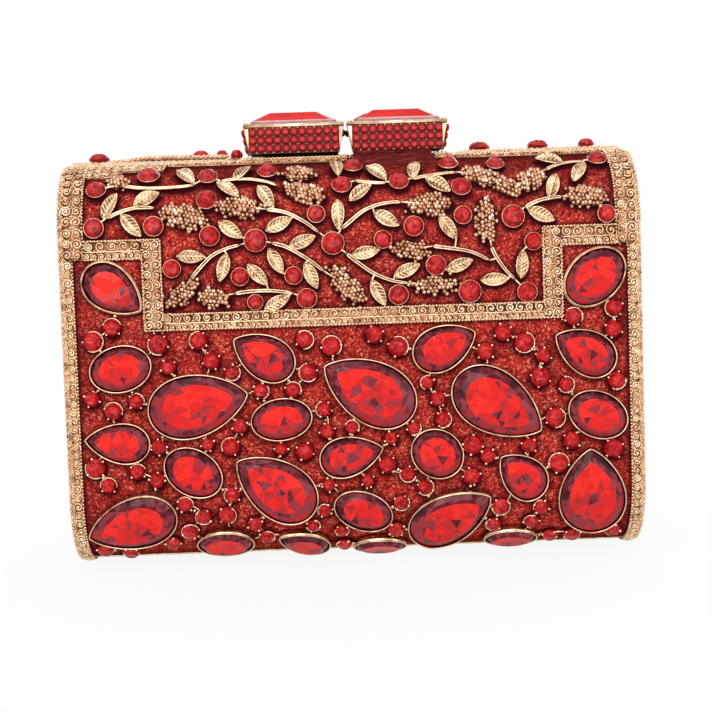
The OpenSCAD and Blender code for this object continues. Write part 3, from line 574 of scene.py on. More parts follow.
def scroll_row(pile, start, end, radius, lift, thickness=0.27, flip=False, bend=wrap):
    """Scrolls that turn left and right by turns, no two quite alike, with grains between."""
    places, heading, step = along_band(start, end, SCROLL_PITCH * radius)
    side = np.array([-heading[1], heading[0]])
    for i, place in enumerate(places):
        mirror = -1 if (i % 2 == 0) == flip else 1
        form = scroll(radius * chance.uniform(0.84, 1.08), chance.uniform(1.25, 1.9))
        form = turned(form, chance.uniform(-38, 38))
        stretched = form[:, :1] * heading * step / (SCROLL_PITCH * radius)
        flat = place + stretched + form[:, 1:] * side * mirror
        rise = lift + 0.25 * np.linspace(1, -1, len(form))
        put_bent(pile, wire(np.column_stack([flat, rise]), thickness, 5), bend,
                 chance.uniform(0.35, 0.65))
        put_grain(pile, 0.34, [*place, lift + 0.25], bend)
        for ahead, aside in ((0.5, -1), (0.5, 1), (0.2, -1.1), (0.75, 1.1)):
            spot = place + heading * step * ahead + side * aside * radius * chance.uniform(0.6, 0.95)
            put_grain(pile, chance.uniform(0.22, 0.36), [*spot, lift], bend,
                      chance.uniform(0.2, 0.6))


def grain_row(pile, start, end, radius, lift, pitch):
    for place in along_band(start, end, pitch)[0]:
        put_grain(pile, radius, [*place, lift], wrap)


def border_wire(pile, start, end, radius, lift, bend=wrap):
    count = max(2, int(np.linalg.norm(np.subtract(end, start)) / 1.5))
    line = np.column_stack([np.linspace(start[k], end[k], count) for k in (0, 1)]
                           + [np.full(count, lift)])
    put_bent(pile, wire(line, radius), bend)


def back_plate(pile, x1, x2, u1, u2, top, bend=wrap):
    """A thin dull plate over part of the sheet, from x1 to x2 and from u1 to u2."""
    count = max(2, int(abs(u2 - u1) / 1.5))
    ring = [(x1, PLATE_BASE), (x2, PLATE_BASE), (x2, top), (x1, top)]
    rings = [[(x, u, o) for x, o in ring] for u in np.linspace(max(u1, u2), min(u1, u2), count)]
    put_bent(pile, loft(rings), bend, finish=RECESS)


def rope(pile, start, end, radius, lift, twist):
    """Two strands laid round each other. Lift is a function of x, twist the length of one turn."""
    start, end = np.array(start, float), np.array(end, float)
    length = np.linalg.norm(end - start)
    heading = (end - start) / length
    side = np.array([-heading[1], heading[0]])
    t = np.linspace(0, length, max(8, int(length / twist * 8)))
    for half_turn in (0, 0.5):
        angle = 2 * math.pi * (t / twist + half_turn)
        flat = start + t[:, None] * heading + (0.5 * radius * np.sin(angle))[:, None] * side
        line = np.column_stack([flat, lift(flat[:, 0]) + 0.5 * radius * np.cos(angle)])
        put_bent(pile, wire(line, 0.62 * radius, 5), wrap)


# %% [markdown]
# The end bands. Near the top each is two columns of scrolls wide, and below the corner of the
# panel it narrows to one column. A column of small scrolls turns the corner on to the end face,
# where the band becomes a border round a window of glitter fabric.

# %% End bands
RIM_W = 6.4
UPPER_IN, LOWER_IN = 77.5, 80.7
FLAP_SIDE = (38.18, 43.58)
FLAP_FOOT = (60.04, 64.64)
BASE_START = 144.33
SCROLL_LIFT = 1.32
BACK_TOP = 0.75
UPPER_COLUMNS, LOWER_COLUMN = (1.6, 4.6), 82.15
PALE = 2
EDGE_X, EDGE_R = 83.35, 1.1


def end_bend(side):
    """Bends (depth, height, lift) on to an end face."""
    def bend(points):
        points = np.asarray(points, float)
        return np.stack([side * (SKIN_HALF_LEN + points[:, 2]), -points[:, 0], points[:, 1]], 1)
    return bend


def rim_bend(side):
    """Bends (inset, u, lift) on to an end face, beside the edge of the case."""
    def bend(points):
        points = np.asarray(points, float)
        edge = wrap(np.stack([0 * points[:, 0], points[:, 1], -points[:, 0]], 1))
        edge[:, 0] = side * (SKIN_HALF_LEN + points[:, 2])
        return edge
    return bend


def corner_bend(side):
    """Bends (arc, u, lift) round the edge between the front and an end face."""
    def bend(points):
        points = np.asarray(points, float)
        angle, reach = points[:, 0] / EDGE_R, EDGE_R + points[:, 2]
        return wrap(np.stack([side * (EDGE_X + reach * np.sin(angle)), points[:, 1],
                              reach * np.cos(angle) - 0.25], 1))
    return bend


def end_band(side):
    pile = heap()
    upper, lower = (-RIM_W, -FLAP_SIDE[1]), (-FLAP_SIDE[1] - 0.3, -BASE_START)
    back_plate(pile, *sorted((side * UPPER_IN, side * SKIN_HALF_LEN)), *upper, BACK_TOP)
    back_plate(pile, *sorted((side * LOWER_IN, side * (SKIN_HALF_LEN + 0.6))), -FLAP_SIDE[1],
               -BASE_START, BACK_TOP)
    for inset, flip in zip(UPPER_COLUMNS, (side > 0, side < 0)):
        column = line_down(side * (UPPER_IN + inset), *upper)
        scroll_row(pile, *column, 1.45, SCROLL_LIFT, flip=flip)
    grain_row(pile, *line_down(side * (UPPER_IN - 0.05), *upper), 0.34, 1.2, 0.98)
    start = len(pile["faces"])
    column = line_down(side * LOWER_COLUMN, *lower)
    scroll_row(pile, *column, 1.18, SCROLL_LIFT, flip=side > 0)
    grain_row(pile, *line_down(side * (LOWER_IN + 0.05), *lower), 0.36, 1.15, 1.0)
    pile["finish"][start:] = [PALE] * (len(pile["faces"]) - start)
    turn = corner_bend(side)
    run = (-8.5, -BASE_START - 3)
    for arc in (0.1, 0.5, 0.9, 1.3, 1.7):
        border_wire(pile, *line_down(arc, *run), 0.36, -0.2, turn)
    scroll_row(pile, *line_down(0.85, *run), 0.82, 0.22, 0.22, bend=turn)
    edge = rim_bend(side)
    run = (-0.6, -(SKIN_RUN - SLOT_Y - 0.4))
    back_plate(pile, 0.3, 5.0, *run, 0.8, edge)
    scroll_row(pile, *line_down(2.5, run[0] - 5, run[1] + 5), 1.75, 1.1, 0.3, bend=edge)
    for inset in (0.5, 4.8):
        border_wire(pile, *line_down(inset, *run), 0.35, 1.2, edge)
    seam = end_bend(side)
    back_plate(pile, 0.25, 4.5, 5.0, BAG_H - 1.5, 0.7, seam)
    scroll_row(pile, *line_down(2.4, 8.0, BAG_H - 4), 1.6, 1.1, 0.3, bend=seam)
    for depth in (0.55, 4.3):
        border_wire(pile, *line_down(depth, 5.0, BAG_H - 1.2), 0.35, 1.2, seam)
    return pile


for name, side in (("left", -1), ("right", 1)):
    make_pair(f"end_filigree_{name}", end_band(side), [filigree_gilt, recess_gilt_and_shade, pale_gilt],
              [f"end_band_{name}"])

# %% [markdown]
# The stepped strip frames the upper panel like the edge of a flap. It has two rows of scrolls
# and a row of grains, called picots, along each border.

# %% The stepped strip
FLAP_X = (-60.6, -55.2, 55.95, 61.35)


def strip_down(pile, x1, x2, s1, s2):
    """A strip that runs down the sheet, with scrolls in two columns."""
    back_plate(pile, x1, x2, -s1, -s2, BACK_TOP)
    quarter = (x2 - x1) / 4
    for x, flip in ((x1 + quarter, True), (x2 - quarter, False)):
        scroll_row(pile, *line_down(x, -s1, -s2), quarter * 1.02, SCROLL_LIFT, 0.26, flip)


def strip_along(pile, x1, x2, s1, s2):
    """A strip that runs along the bag: a row of large scrolls, a wire and a row of small ones."""
    back_plate(pile, x1, x2, -s1, -s2, BACK_TOP)
    large, small = (s2 - s1) * 0.29, (s2 - s1) * 0.18
    scroll_row(pile, *line_along(x1, x2, -s1 - large), large, SCROLL_LIFT, 0.27, True)
    scroll_row(pile, *line_along(x1, x2, -s2 + small), small, SCROLL_LIFT, 0.24, False)
    border_wire(pile, *line_along(x1, x2, -s1 - 2 * large), 0.24, 1.45)


def picots(pile, *corners):
    """A border of grains on a wire through corners (x, s)."""
    for (xa, sa), (xb, sb) in zip(corners, corners[1:]):
        grain_row(pile, (xa, -sa), (xb, -sb), 0.4, 1.3, 1.0)
        border_wire(pile, (xa, -sa), (xb, -sb), 0.22, 1.0)


flap = heap()
x1, x2, x3, x4 = FLAP_X
strip_along(flap, -UPPER_IN, x1, *FLAP_SIDE)
strip_down(flap, x1, x2, FLAP_SIDE[0], FLAP_FOOT[1])
strip_along(flap, x2, x3, *FLAP_FOOT)
strip_down(flap, x3, x4, FLAP_SIDE[0], FLAP_FOOT[1])
strip_along(flap, x4, UPPER_IN, *FLAP_SIDE)
picots(flap, (-UPPER_IN, FLAP_SIDE[0]), (x2, FLAP_SIDE[0]), (x2, FLAP_FOOT[0]),
       (x3, FLAP_FOOT[0]), (x3, FLAP_SIDE[0]), (UPPER_IN, FLAP_SIDE[0]))
picots(flap, (-UPPER_IN, FLAP_SIDE[1]), (x1, FLAP_SIDE[1]), (x1, FLAP_FOOT[1]),
       (x4, FLAP_FOOT[1]), (x4, FLAP_SIDE[1]), (UPPER_IN, FLAP_SIDE[1]))
make_pair("flap_filigree", flap, [filigree_gilt, recess_gilt_and_shade], ["flap_band"])

# %% [markdown]
# Rims close the two halves at the top. From the front they are seen almost edge on, as a braid
# with the dark seam behind it and the braid of the other half above the seam, which stands higher
# on one side. The dark seam is a wall in a near-black finish, painted shadow. Where the ends of the
# clasp blocks stand, the braids sink so that the blocks can tilt. In the upper left corner a patch
# of scrolls fills the place between rim and crystals.

# %% Top and bottom rims
CLASP_FROM, CLASP_TO = 0.65, 26.25
RIDGE_X = (-84, -37, -33.5, -24, -21.5, 21.5, 24, 33.5, 37, 60, 76, 84)
RIDGE = {"front": (1.4, 1.2, 0.95, 0.95, 1.45, 1.45, 0.95, 0.95, 1.55, 1.55, 1.55, 1.55),
         "back": (1.7, 1.9, 0.95, 0.95, 1.45, 1.45, 0.95, 0.95, 2.8, 3.0, 1.5, 1.4)}
BRAID_U, CORD_U, CURLS_U, OUTER_U, KNOTS_U = -1.1, -2.5, -4.0, -5.5, -6.15
LUMPS_FROM = 38
SEAM_SHADOW = 2
PATCH_WIDE, PATCH_NARROW = (-54.5, 13.8), (-67, 17.4)
BASE_ROW_U = -146.0


def wall(pile, ends, edges, foot, crest, drops, finish):
    """A wall beside the seam. Its two edges lie a drop below the crest, which is a function of x."""
    (s1, s2), (drop1, drop2) = edges, drops
    rings = [[(x, -s1, foot), (x, -s1, crest(x) - drop1), (x, -s2, crest(x) - drop2),
              (x, -s2, foot)] for x in np.arange(*ends, 1.1)]
    put_bent(pile, loft(rings), wrap, finish=finish)


def corner_patch(pile):
    """The filigree of one upper corner, in a wide step and a narrow one below it."""
    (wide_x, wide_s), (narrow_x, narrow_s) = PATCH_WIDE, PATCH_NARROW
    back_plate(pile, -UPPER_IN, wide_x, -RIM_W, -wide_s, 0.7)
    for s, flip in ((7.7, False), (10.2, True), (12.6, False)):
        scroll_row(pile, *line_along(-UPPER_IN, wide_x - 0.3, -s), 1.2, 1.1, 0.24, flip)
    back_plate(pile, -UPPER_IN, narrow_x, -wide_s, -narrow_s, 0.7)
    for s, flip in ((14.7, True), (16.6, False)):
        scroll_row(pile, *line_along(-UPPER_IN, narrow_x - 0.4, -s), 1.05, 1.1, 0.24, flip)
    corner = (wide_x, -wide_s - 0.1)
    grain_row(pile, (narrow_x, corner[1]), corner, 0.34, 1.0, 0.95)
    grain_row(pile, corner, (wide_x, -RIM_W), 0.34, 1.0, 0.95)


def top_rim(end):
    def ridge(x):
        return np.interp(x, RIDGE_X, RIDGE[end])

    def outer_ridge(x):
        return np.interp(np.abs(x), (30.5, 33), (1.7, 1.0))

    pile = heap()
    for xa, xb in ((-SKIN_HALF_LEN, CLASP_FROM - 0.3), (CLASP_TO + 0.3, SKIN_HALF_LEN)):
        back_plate(pile, xa, xb, -0.4, -RIM_W, 0.6)
        wall(pile, (xa, xb), (0.5, 2.6), 0.5, ridge, (0.2, 0.2), RECESS)
        braid = line_along(xa, xb, BRAID_U)
        if end == "back" and xb > CLASP_TO:
            rope(pile, *braid, 0.62, lambda x: ridge(x) + 0.16, 2.8)
        else:
            rope(pile, *braid, 0.8, ridge, 3.6)
        for x in np.arange(xa + 0.5, xb, 0.9):
            if abs(x) > LUMPS_FROM:
                lump = [x, BRAID_U + chance.uniform(-0.5, 0.3), ridge(x) + chance.uniform(0.1, 0.5)]
                put_grain(pile, chance.uniform(0.28, 0.42), lump, wrap, chance.uniform(0.25, 0.6))
        # A near-black wall under the braid: painted shadow of the seam.
        wall(pile, (xa, xb), (0.42, 0.9), 0.3, ridge, (0.5, 0.4), SEAM_SHADOW)
        rope(pile, *line_along(xa, xb, CORD_U), 0.55, lambda x: ridge(x) * 0.9 + 0.2, 2.2)
        scroll_row(pile, *line_along(xa, xb, CURLS_U), 1.15, 1.1, 0.26)
        rope(pile, *line_along(xa, xb, OUTER_U), 0.6, outer_ridge, 2.6)
        wall(pile, (xa, xb), (5.1, 5.9), 0.5, outer_ridge, (0, 0), RECESS)
        for x in np.arange(xa + 0.4, xb, 0.42):
            knot = [x, KNOTS_U + chance.uniform(-0.1, 0.1), chance.uniform(0.5, 1.35)]
            put_grain(pile, chance.uniform(0.26, 0.4), knot, wrap, chance.uniform(0.2, 0.6))
    corner_patch(pile)
    return pile


for end, side in SIDES.items():
    make_piece(f"{end}_top_braid", top_rim(end), [filigree_gilt, recess_gilt_and_shade, gap_shadow], f"{end}_half",
               side, [f"{end}_top_rim"])

base = heap()
back_plate(base, -SKIN_HALF_LEN, SKIN_HALF_LEN, -BASE_START, -(SKIN_RUN - SLOT_Y), 0.5)
scroll_row(base, *line_along(-SKIN_HALF_LEN, SKIN_HALF_LEN, BASE_ROW_U), 1.2, 0.6, 0.22)
border_wire(base, *line_along(-SKIN_HALF_LEN, SKIN_HALF_LEN, -BASE_START), 0.35, 0.7)
make_pair("base_filigree", base, [filigree_gilt, recess_gilt_and_shade], ["base_rim"])

# %% [markdown]
# The large crystals: pears and ovals of thirteen sizes. A pear outline is an oval drawn to a
# point at one end. Their places were read off the photograph, as shares of half the length and of
# the run of the sheet, so they hold at any size.

# %% Outlines and places of the large crystals
KINDS = [
    (29.6, 18.6, 0.5), (19.6, 13.2, 0.5), (19.0, 12.0, 0.6), (18.2, 13.6, 0), (18.0, 12.4, 0),
    (16.0, 14.2, 0), (25.6, 20.0, 0.55), (16.6, 12.6, 0.5), (20.0, 14.8, 0), (17.0, 12.0, 0),
    (27.2, 17.2, 0.5), (16.5, 11.0, 0.5), (16.0, 9.4, 0)]
LARGE_PLACES = [
    (-0.815, 0.350, -38, 1), (0.833, 0.355, 40, 8), (-0.801, 0.503, 12, 3),
    (-0.541, 0.578, 11, 0), (-0.822, 0.647, 173, 2), (-0.567, 0.710, -33, 3),
    (-0.786, 0.807, 197, 10), (-0.470, 0.864, 0, 9), (-0.311, 0.487, 149, 1),
    (-0.257, 0.612, 7, 4), (-0.286, 0.745, 144, 10), (0.047, 0.561, 150, 0),
    (-0.021, 0.688, 12, 2), (0.014, 0.796, -24, 4), (0.311, 0.481, 24, 1),
    (0.275, 0.690, -35, 5), (0.318, 0.817, 32, 10), (-0.196, 0.872, 152, 11),
    (0.072, 0.893, 0, 12), (0.490, 0.597, -33, 0), (0.794, 0.499, 150, 1),
    (0.834, 0.624, -25, 3), (0.808, 0.773, 92, 6), (0.566, 0.739, 137, 7), (0.533, 0.879, 0, 12)]
END_LARGE = [(12.25, 38.1, 90, 4), (12.25, 57.7, 90, 2), (12.25, 77.4, 90, 4)]


def gem_outline(length, width, point, count):
    t = np.arange(count) * 2 * math.pi / count
    wide = np.sin(t)
    if point > 0:
        peak = math.acos(-point / (2 + point))
        full = math.sin(peak) * math.sin(peak / 2) ** point
        wide = wide * np.abs(np.sin(t / 2)) ** point / full
    return np.stack([length / 2 * np.cos(t), width / 2 * wide], 1)


def level(outline, z):
    return np.column_stack([outline, np.full(len(outline), z)])


def upright_for(turn):
    """Which way is up for an ornament that is turned, in its own plane."""
    return np.array([math.sin(math.radians(turn)), math.cos(math.radians(turn))])


# %% [markdown]
# How a crystal is cut: a bevel of narrow facets runs round it, kite facets rise from that, and
# the flat top shows the back facets through the glass, as a mosaic of splinters. Its light is
# painted in the tones: a bright patch with a ragged edge lies in the upper part of each stone, a
# duller one below it, and the bevel is dark above and greyer below, a painted reflection. So the
# tone goes by where a facet lies, seen with the bag upright.

# %% Cut a crystal
def mosaic(ring, pitch):
    """Splinters that fill a closed outline: more points, and triangles between all of them."""
    reach = np.abs(ring).max(0)
    middle = ring.mean(0)
    edge = np.linalg.norm(ring - middle, axis=1)
    bearing = np.arctan2(*(ring - middle).T[::-1])
    order = np.argsort(bearing)
    inner = []
    for u in np.arange(-reach[0], reach[0] + 1e-6, pitch):
        for v in np.arange(-reach[1], reach[1] + 1e-6, pitch):
            spot = np.array([u + chance.uniform(-0.4, 0.4) * pitch,
                             v + chance.uniform(-0.4, 0.4) * pitch])
            off = spot - middle
            limit = np.interp(math.atan2(off[1], off[0]), bearing[order], edge[order],
                              period=2 * math.pi)
            if np.linalg.norm(off) < limit - 0.35 * pitch:
                inner.append(spot)
    places = [Vector(p) for p in [*ring, *inner]]
    made = delaunay_2d_cdt(places, [], [list(range(len(ring)))], 1, 1e-5)
    return np.array([p[:] for p in made[0]]), [tuple(f) for f in made[2]]


def cut_crystal(outline, heights, shares, pitch, upright, lit, flat_top=0.06):
    """Facets from the girdle to the top. Lit gives the tone at (across, up), each -1 to 1.

    Heights are those of the foot and the top of the bevel, of the kites and of the flat top. Shares
    are the widths of the last two. Pitch is the size of a splinter in the flat top.
    """
    n, half = len(outline), len(outline) // 2
    low, high, top, peak = heights
    middle = outline.mean(0)
    kite_ring = middle + (outline[1::2] - middle) * shares[0]
    table_ring = middle + (outline[0::2] - middle) * shares[1]
    top_points, splinters = mosaic(table_ring, pitch)
    points = np.concatenate([level(outline, low), level(outline, high), level(kite_ring, top),
                             level(top_points, peak)])
    bevel, kite, table = n, 2 * n, 2 * n + half
    for k in range(table + half, len(points)):
        points[k, 2] += chance.uniform(-1, 1) * flat_top
    up = np.array(upright)
    over = np.array([up[1], -up[0]])
    size = np.abs(outline).max()
    faces = [(i, (i + 1) % n, bevel + (i + 1) % n, bevel + i) for i in range(n)]
    for i in range(half):
        a, b, c = bevel + 2 * i, bevel + 2 * i + 1, bevel + (2 * i + 2) % n
        k, k_next = kite + i, kite + (i + 1) % half
        t, t_next = table + i, table + (i + 1) % half
        faces += [(a, b, k), (b, c, k), (c, k_next, k), (t, k, t_next), (k, k_next, t_next)]
    faces += [tuple(table + i for i in face) for face in splinters]
    # Each facet's tone is painted light, given by the lit function.
    tones = []
    for i, face in enumerate(faces):
        centre = points[list(face)].mean(0)[:2] - middle
        kind = 0 if i < n else 1 if i < n + 5 * half else 2
        tones.append(min(1, max(0, lit(kind, centre @ over / size, centre @ up / size))))
    return points, faces, tones


def lit_large(kind, across, rise):
    """A large stone: dark bevel, a bright patch in the upper part, a duller one below."""
    # Painted light and reflection: dark upper bevel, grey lower bevel, bright upper patch.
    if kind == 0:
        return 0.06 if rise > -0.2 else 0.4
    if kind == 1:
        return 0.26 - 0.2 * rise + chance.uniform(-0.12, 0.14)
    edge = -0.08 + 0.16 * math.sin(5 * across + 1) + chance.uniform(-0.1, 0.1)
    if rise > edge:
        return 0.84 + chance.uniform(-0.12, 0.12) - (0.42 if chance.random() < 0.12 else 0)
    return 0.66 + chance.uniform(-0.12, 0.08) - (0.4 if chance.random() < 0.16 else 0)


def lit_round(kind, across, rise):
    """A small stone: sectors of red, dark ones among them, lighter to the left."""
    # Painted light: lighter to the left and towards the top.
    base = (0.4, 0.55, 0.62)[kind]
    return base - 0.12 * across + 0.08 * rise + chance.uniform(-0.3, 0.22)


def lit_chip(kind, across, rise):
    # Painted light: lighter towards the top.
    return (0.3, 0.5, 0.68)[kind] + 0.1 * rise + chance.uniform(-0.1, 0.12)


WIRE_LIFT = 2.0
SETTING_WALL = ((-0.35, 0.0), (-0.1, 0.9), (0.0, WIRE_LIFT), (-0.3, WIRE_LIFT))
SETTING_GAP = ((-0.3, WIRE_LIFT), (-0.34, 1.5), (-1.1, 1.3))
TOP_WIRE, SECOND_WIRE = (-0.1, WIRE_LIFT, 0.24), (0.2, 1.4, 0.22)


def setting(pile, seat, outline, bold):
    """A gilt setting: a wall from the fabric, a fine wire round its top, a dark gap inside.

    A profile is a row of places, each so far out from the outline and so high. A wire has a
    radius too. Only a bold setting has the second wire.
    """
    away = outline / (np.linalg.norm(outline, axis=1)[:, None] + 1e-9)
    # The second finish paints the gap inside the setting near black, as shadow.
    for finish, profile in enumerate((SETTING_WALL, SETTING_GAP)):
        rings = [level(outline + away * out, z) for out, z in profile]
        put_bent(pile, loft(rings, closed_ends=False), seat, finish=finish)
    for out, z, radius in (TOP_WIRE, SECOND_WIRE) if bold else (TOP_WIRE,):
        put_bent(pile, wire(level(outline + away * out, z), radius, looped=True), seat,
                 0.3 if bold else 0.42)


# %% [markdown]
# Each large crystal sits in its setting with a thin dark gap round it, which is the shadow
# between wire and glass. The settings of the two crystals in the upper corners are double.

# %% Set the large crystals
GLASS_ROOM = 1.35
LARGE_CUT = ((0.6, 1.7, 2.7, 3.2), (0.86, 0.74), 2.6)
CORNER_RUN = 0.36
pears, ovals, pear_settings, oval_settings = heap(), heap(), heap(), heap()


def set_large(seat, turn, kind, bold=False):
    length, width, point = KINDS[kind]
    glass = gem_outline(length - GLASS_ROOM, width - GLASS_ROOM, point, 32)
    points, faces, tones = cut_crystal(glass, *LARGE_CUT, upright_for(turn), lit_large)
    put(pears if point else ovals, seat(points), faces, tones)
    setting(pear_settings if point else oval_settings, seat,
            gem_outline(length, width, point, 56), bold)


for x_share, run_share, turn, kind in LARGE_PLACES:
    place = sheet_place(x_share, run_share)
    set_large(lambda p: seated(p, place, turn), turn, kind, run_share < CORNER_RUN)
for side in (-1, 1):
    for depth, height, turn, kind in END_LARGE:
        set_large(lambda p: seated_on_end(p, side, (depth, height), turn), turn, kind)
make_pair("pear_crystals", pears, [large_crystal], ["pear_stones"], smooth=False)
make_pair("oval_crystals", ovals, [large_crystal], ["oval_stones"], smooth=False)
make_pair("pear_settings", pear_settings, [setting_gilt, gap_shadow],
          ["pear_bezels"], solid=False)
make_pair("oval_settings", oval_settings, [setting_gilt, gap_shadow],
          ["oval_bezels"], solid=False)

# %% [markdown]
# The small crystals are round and 4 to 6.6 mm across. Each stands in a low turned cup. Below the
# strip four little balls hold it too, and a thin arc of wire runs round most of them.

# %% Places of the small crystals
ROUND_SIZES = (4.0, 4.6, 5.2, 5.8, 6.6)
UPPER_ROUNDS = [
    (-0.866, 0.153, 3), (-0.689, 0.118, 4), (-0.872, 0.230, 3), (-0.669, 0.230, 3),
    (-0.484, 0.127, 3), (-0.487, 0.183, 3), (-0.479, 0.251, 3), (-0.612, 0.312, 2),
    (-0.381, 0.332, 2), (-0.324, 0.263, 4), (-0.332, 0.382, 1), (-0.279, 0.116, 3),
    (0.019, 0.107, 3), (0.351, 0.108, 3), (-0.023, 0.159, 3), (0.174, 0.155, 3),
    (-0.114, 0.217, 2), (-0.060, 0.273, 4), (0.218, 0.245, 3), (0.111, 0.269, 2),
    (-0.198, 0.333, 2), (-0.155, 0.378, 3), (0.290, 0.322, 3), (0.159, 0.377, 3),
    (0.514, 0.115, 2), (0.872, 0.108, 3), (0.387, 0.172, 3), (0.387, 0.228, 2),
    (0.559, 0.233, 4), (0.879, 0.234, 2), (0.626, 0.282, 2), (0.404, 0.375, 4),
    (0.601, 0.380, 3)]
LOWER_ROUNDS = [
    (-0.824, 0.422, 2), (-0.891, 0.448, 3), (-0.669, 0.458, 3), (-0.531, 0.453, 2),
    (-0.489, 0.493, 2), (-0.638, 0.502, 1), (-0.421, 0.517, 1), (-0.903, 0.560, 1),
    (-0.832, 0.585, 2), (-0.753, 0.567, 1), (-0.400, 0.623, 1), (-0.681, 0.658, 1),
    (-0.513, 0.655, 0), (-0.435, 0.662, 2), (-0.901, 0.695, 3), (-0.758, 0.705, 1),
    (-0.859, 0.730, 1), (-0.692, 0.723, 1), (-0.600, 0.772, 1), (-0.436, 0.757, 1),
    (-0.538, 0.797, 1), (-0.458, 0.795, 2), (-0.588, 0.828, 2), (-0.653, 0.857, 1),
    (-0.362, 0.817, 1), (-0.892, 0.872, 2), (-0.806, 0.885, 2), (-0.169, 0.458, 2),
    (-0.078, 0.472, 3), (0.072, 0.453, 2), (0.151, 0.478, 3), (-0.160, 0.522, 2),
    (-0.325, 0.555, 1), (0.249, 0.550, 0), (-0.214, 0.555, 1), (-0.110, 0.595, 1),
    (0.284, 0.582, 1), (-0.101, 0.638, 1), (-0.016, 0.632, 0), (0.197, 0.638, 0),
    (0.299, 0.623, 1), (0.118, 0.656, 0), (-0.262, 0.670, 0), (-0.181, 0.676, 2),
    (0.102, 0.708, 2), (0.172, 0.728, 1), (-0.102, 0.744, 0), (0.033, 0.738, 0),
    (0.231, 0.755, 1), (0.146, 0.783, 1), (-0.119, 0.793, 0), (-0.162, 0.824, 0),
    (-0.062, 0.839, 0), (0.128, 0.842, 2), (-0.325, 0.848, 1), (-0.054, 0.883, 1),
    (0.757, 0.431, 2), (0.898, 0.416, 2), (0.895, 0.457, 2), (0.514, 0.457, 2),
    (0.586, 0.478, 3), (0.451, 0.493, 2), (0.651, 0.505, 1), (0.639, 0.547, 3),
    (0.727, 0.563, 1), (0.902, 0.558, 2), (0.686, 0.627, 3), (0.399, 0.675, 3),
    (0.593, 0.681, 1), (0.742, 0.673, 2), (0.451, 0.698, 1), (0.886, 0.692, 3),
    (0.695, 0.717, 3), (0.392, 0.737, 2), (0.492, 0.798, 2), (0.633, 0.802, 1),
    (0.468, 0.837, 1), (0.600, 0.833, 1), (0.671, 0.877, 1), (0.751, 0.877, 2),
    (0.889, 0.865, 2)]
RIM_ROUNDS = [(0.893, 4), (0.524, 3), (0.448, 0), (0.395, 0), (-0.487, 4), (-0.7, 4),
              (-0.878, 2)]
END_ROUNDS = [(8.0, 94.0, 2), (16.5, 93.4, 3), (12.25, 102.3, 3), (8.5, 107.7, 1),
              (8.0, 22.6, 2), (16.5, 23.8, 3), (10.75, 13.1, 2)]
RIM_STONE_S = 3.584
RIM_STONE_BASE = 2.3

# %% Cut and set the small crystals
ROUND_HEIGHTS, ROUND_SHARES = (0.9, 1.5, 2.35, 2.8), (0.82, 0.6)
stones, cups, rim_stones, rim_cups = heap(), heap(), heap(), heap()


def set_round(seat, kind, turn, prongs, stones=stones, cups=cups, lift=0.0):
    """One small crystal. A lifted one is seen from below, so its cup is narrow and its back shows."""
    def raised(points):
        return seat(points + [0, 0, lift])

    r = ROUND_SIZES[kind] / 2
    circle = gem_outline(2 * r - 0.1, 2 * r - 0.1, 0, 16)
    points, faces, tones = cut_crystal(circle, ROUND_HEIGHTS, ROUND_SHARES, 0.42 * r,
                                       upright_for(turn), lit_round, 0.12)
    put(stones, raised(points), faces, tones)
    wide = r - 0.7 if lift else r - 0.12 if prongs else r + 0.08
    if lift:
        put_bent(stones, lathe([(0.4 * r, 0.2), (0.8 * r, 0.55), (r - 0.05, 1.0)], 16), raised, 0.55)
    put_bent(cups, lathe([(0.45 * r, 0.0), (0.6 * r, 0.25), (wide - 0.25, 0.8), (wide - 0.02, 1.1),
                          (wide, 1.36), (wide - 0.14, 1.4), (wide - 0.4, 0.9)], 20), raised)
    if not prongs:
        return
    for quarter in range(4):
        a = math.radians(90 * quarter + 40 + chance.uniform(-14, 14))
        reach = r + 0.05
        put_grain(cups, chance.uniform(0.32, 0.46), [reach * math.cos(a), reach * math.sin(a), 1.55],
                  raised, 0.7)
    if chance.random() < 0.65:
        arc = math.radians(chance.uniform(0, 360)) + np.radians(
            np.linspace(0, chance.uniform(100, 240), 12))
        reach = r + 0.12
        rail = np.column_stack([reach * np.cos(arc), reach * np.sin(arc), np.full(12, 1.5)])
        put_bent(cups, wire(rail, 0.17), raised, 0.6)


for row, prongs in ((UPPER_ROUNDS, False), (LOWER_ROUNDS, True)):
    for x_share, run_share, kind in row:
        place, turn = sheet_place(x_share, run_share), chance.uniform(0, 90)
        set_round(lambda p: seated(p, place, turn), kind, turn, prongs)
for side in (-1, 1):
    for depth, height, kind in END_ROUNDS:
        set_round(lambda p: seated_on_end(p, side, (depth, height), 20), kind, 20, True)
for x_share, kind in RIM_ROUNDS:
    place = np.array([x_share * HALF_LEN, -RIM_STONE_S])
    set_round(lambda p: seated(p, place, 30), kind, 30, False, rim_stones, rim_cups, RIM_STONE_BASE)
make_pair("round_crystals", stones, [small_crystal], ["round_stones"],
          smooth=False)
make_pair("round_cups", cups, [setting_gilt])
make_piece("back_rim_crystals", rim_stones, [small_crystal], "back_half", -1,
           smooth=False)
make_piece("back_rim_cups", rim_cups, [setting_gilt], "back_half", -1)

# %% [markdown]
# Fine wires link the settings below the strip, so that all of it lifts from the mould as one
# piece. They run low from cup to cup, with a gilt grain in the narrow gaps.

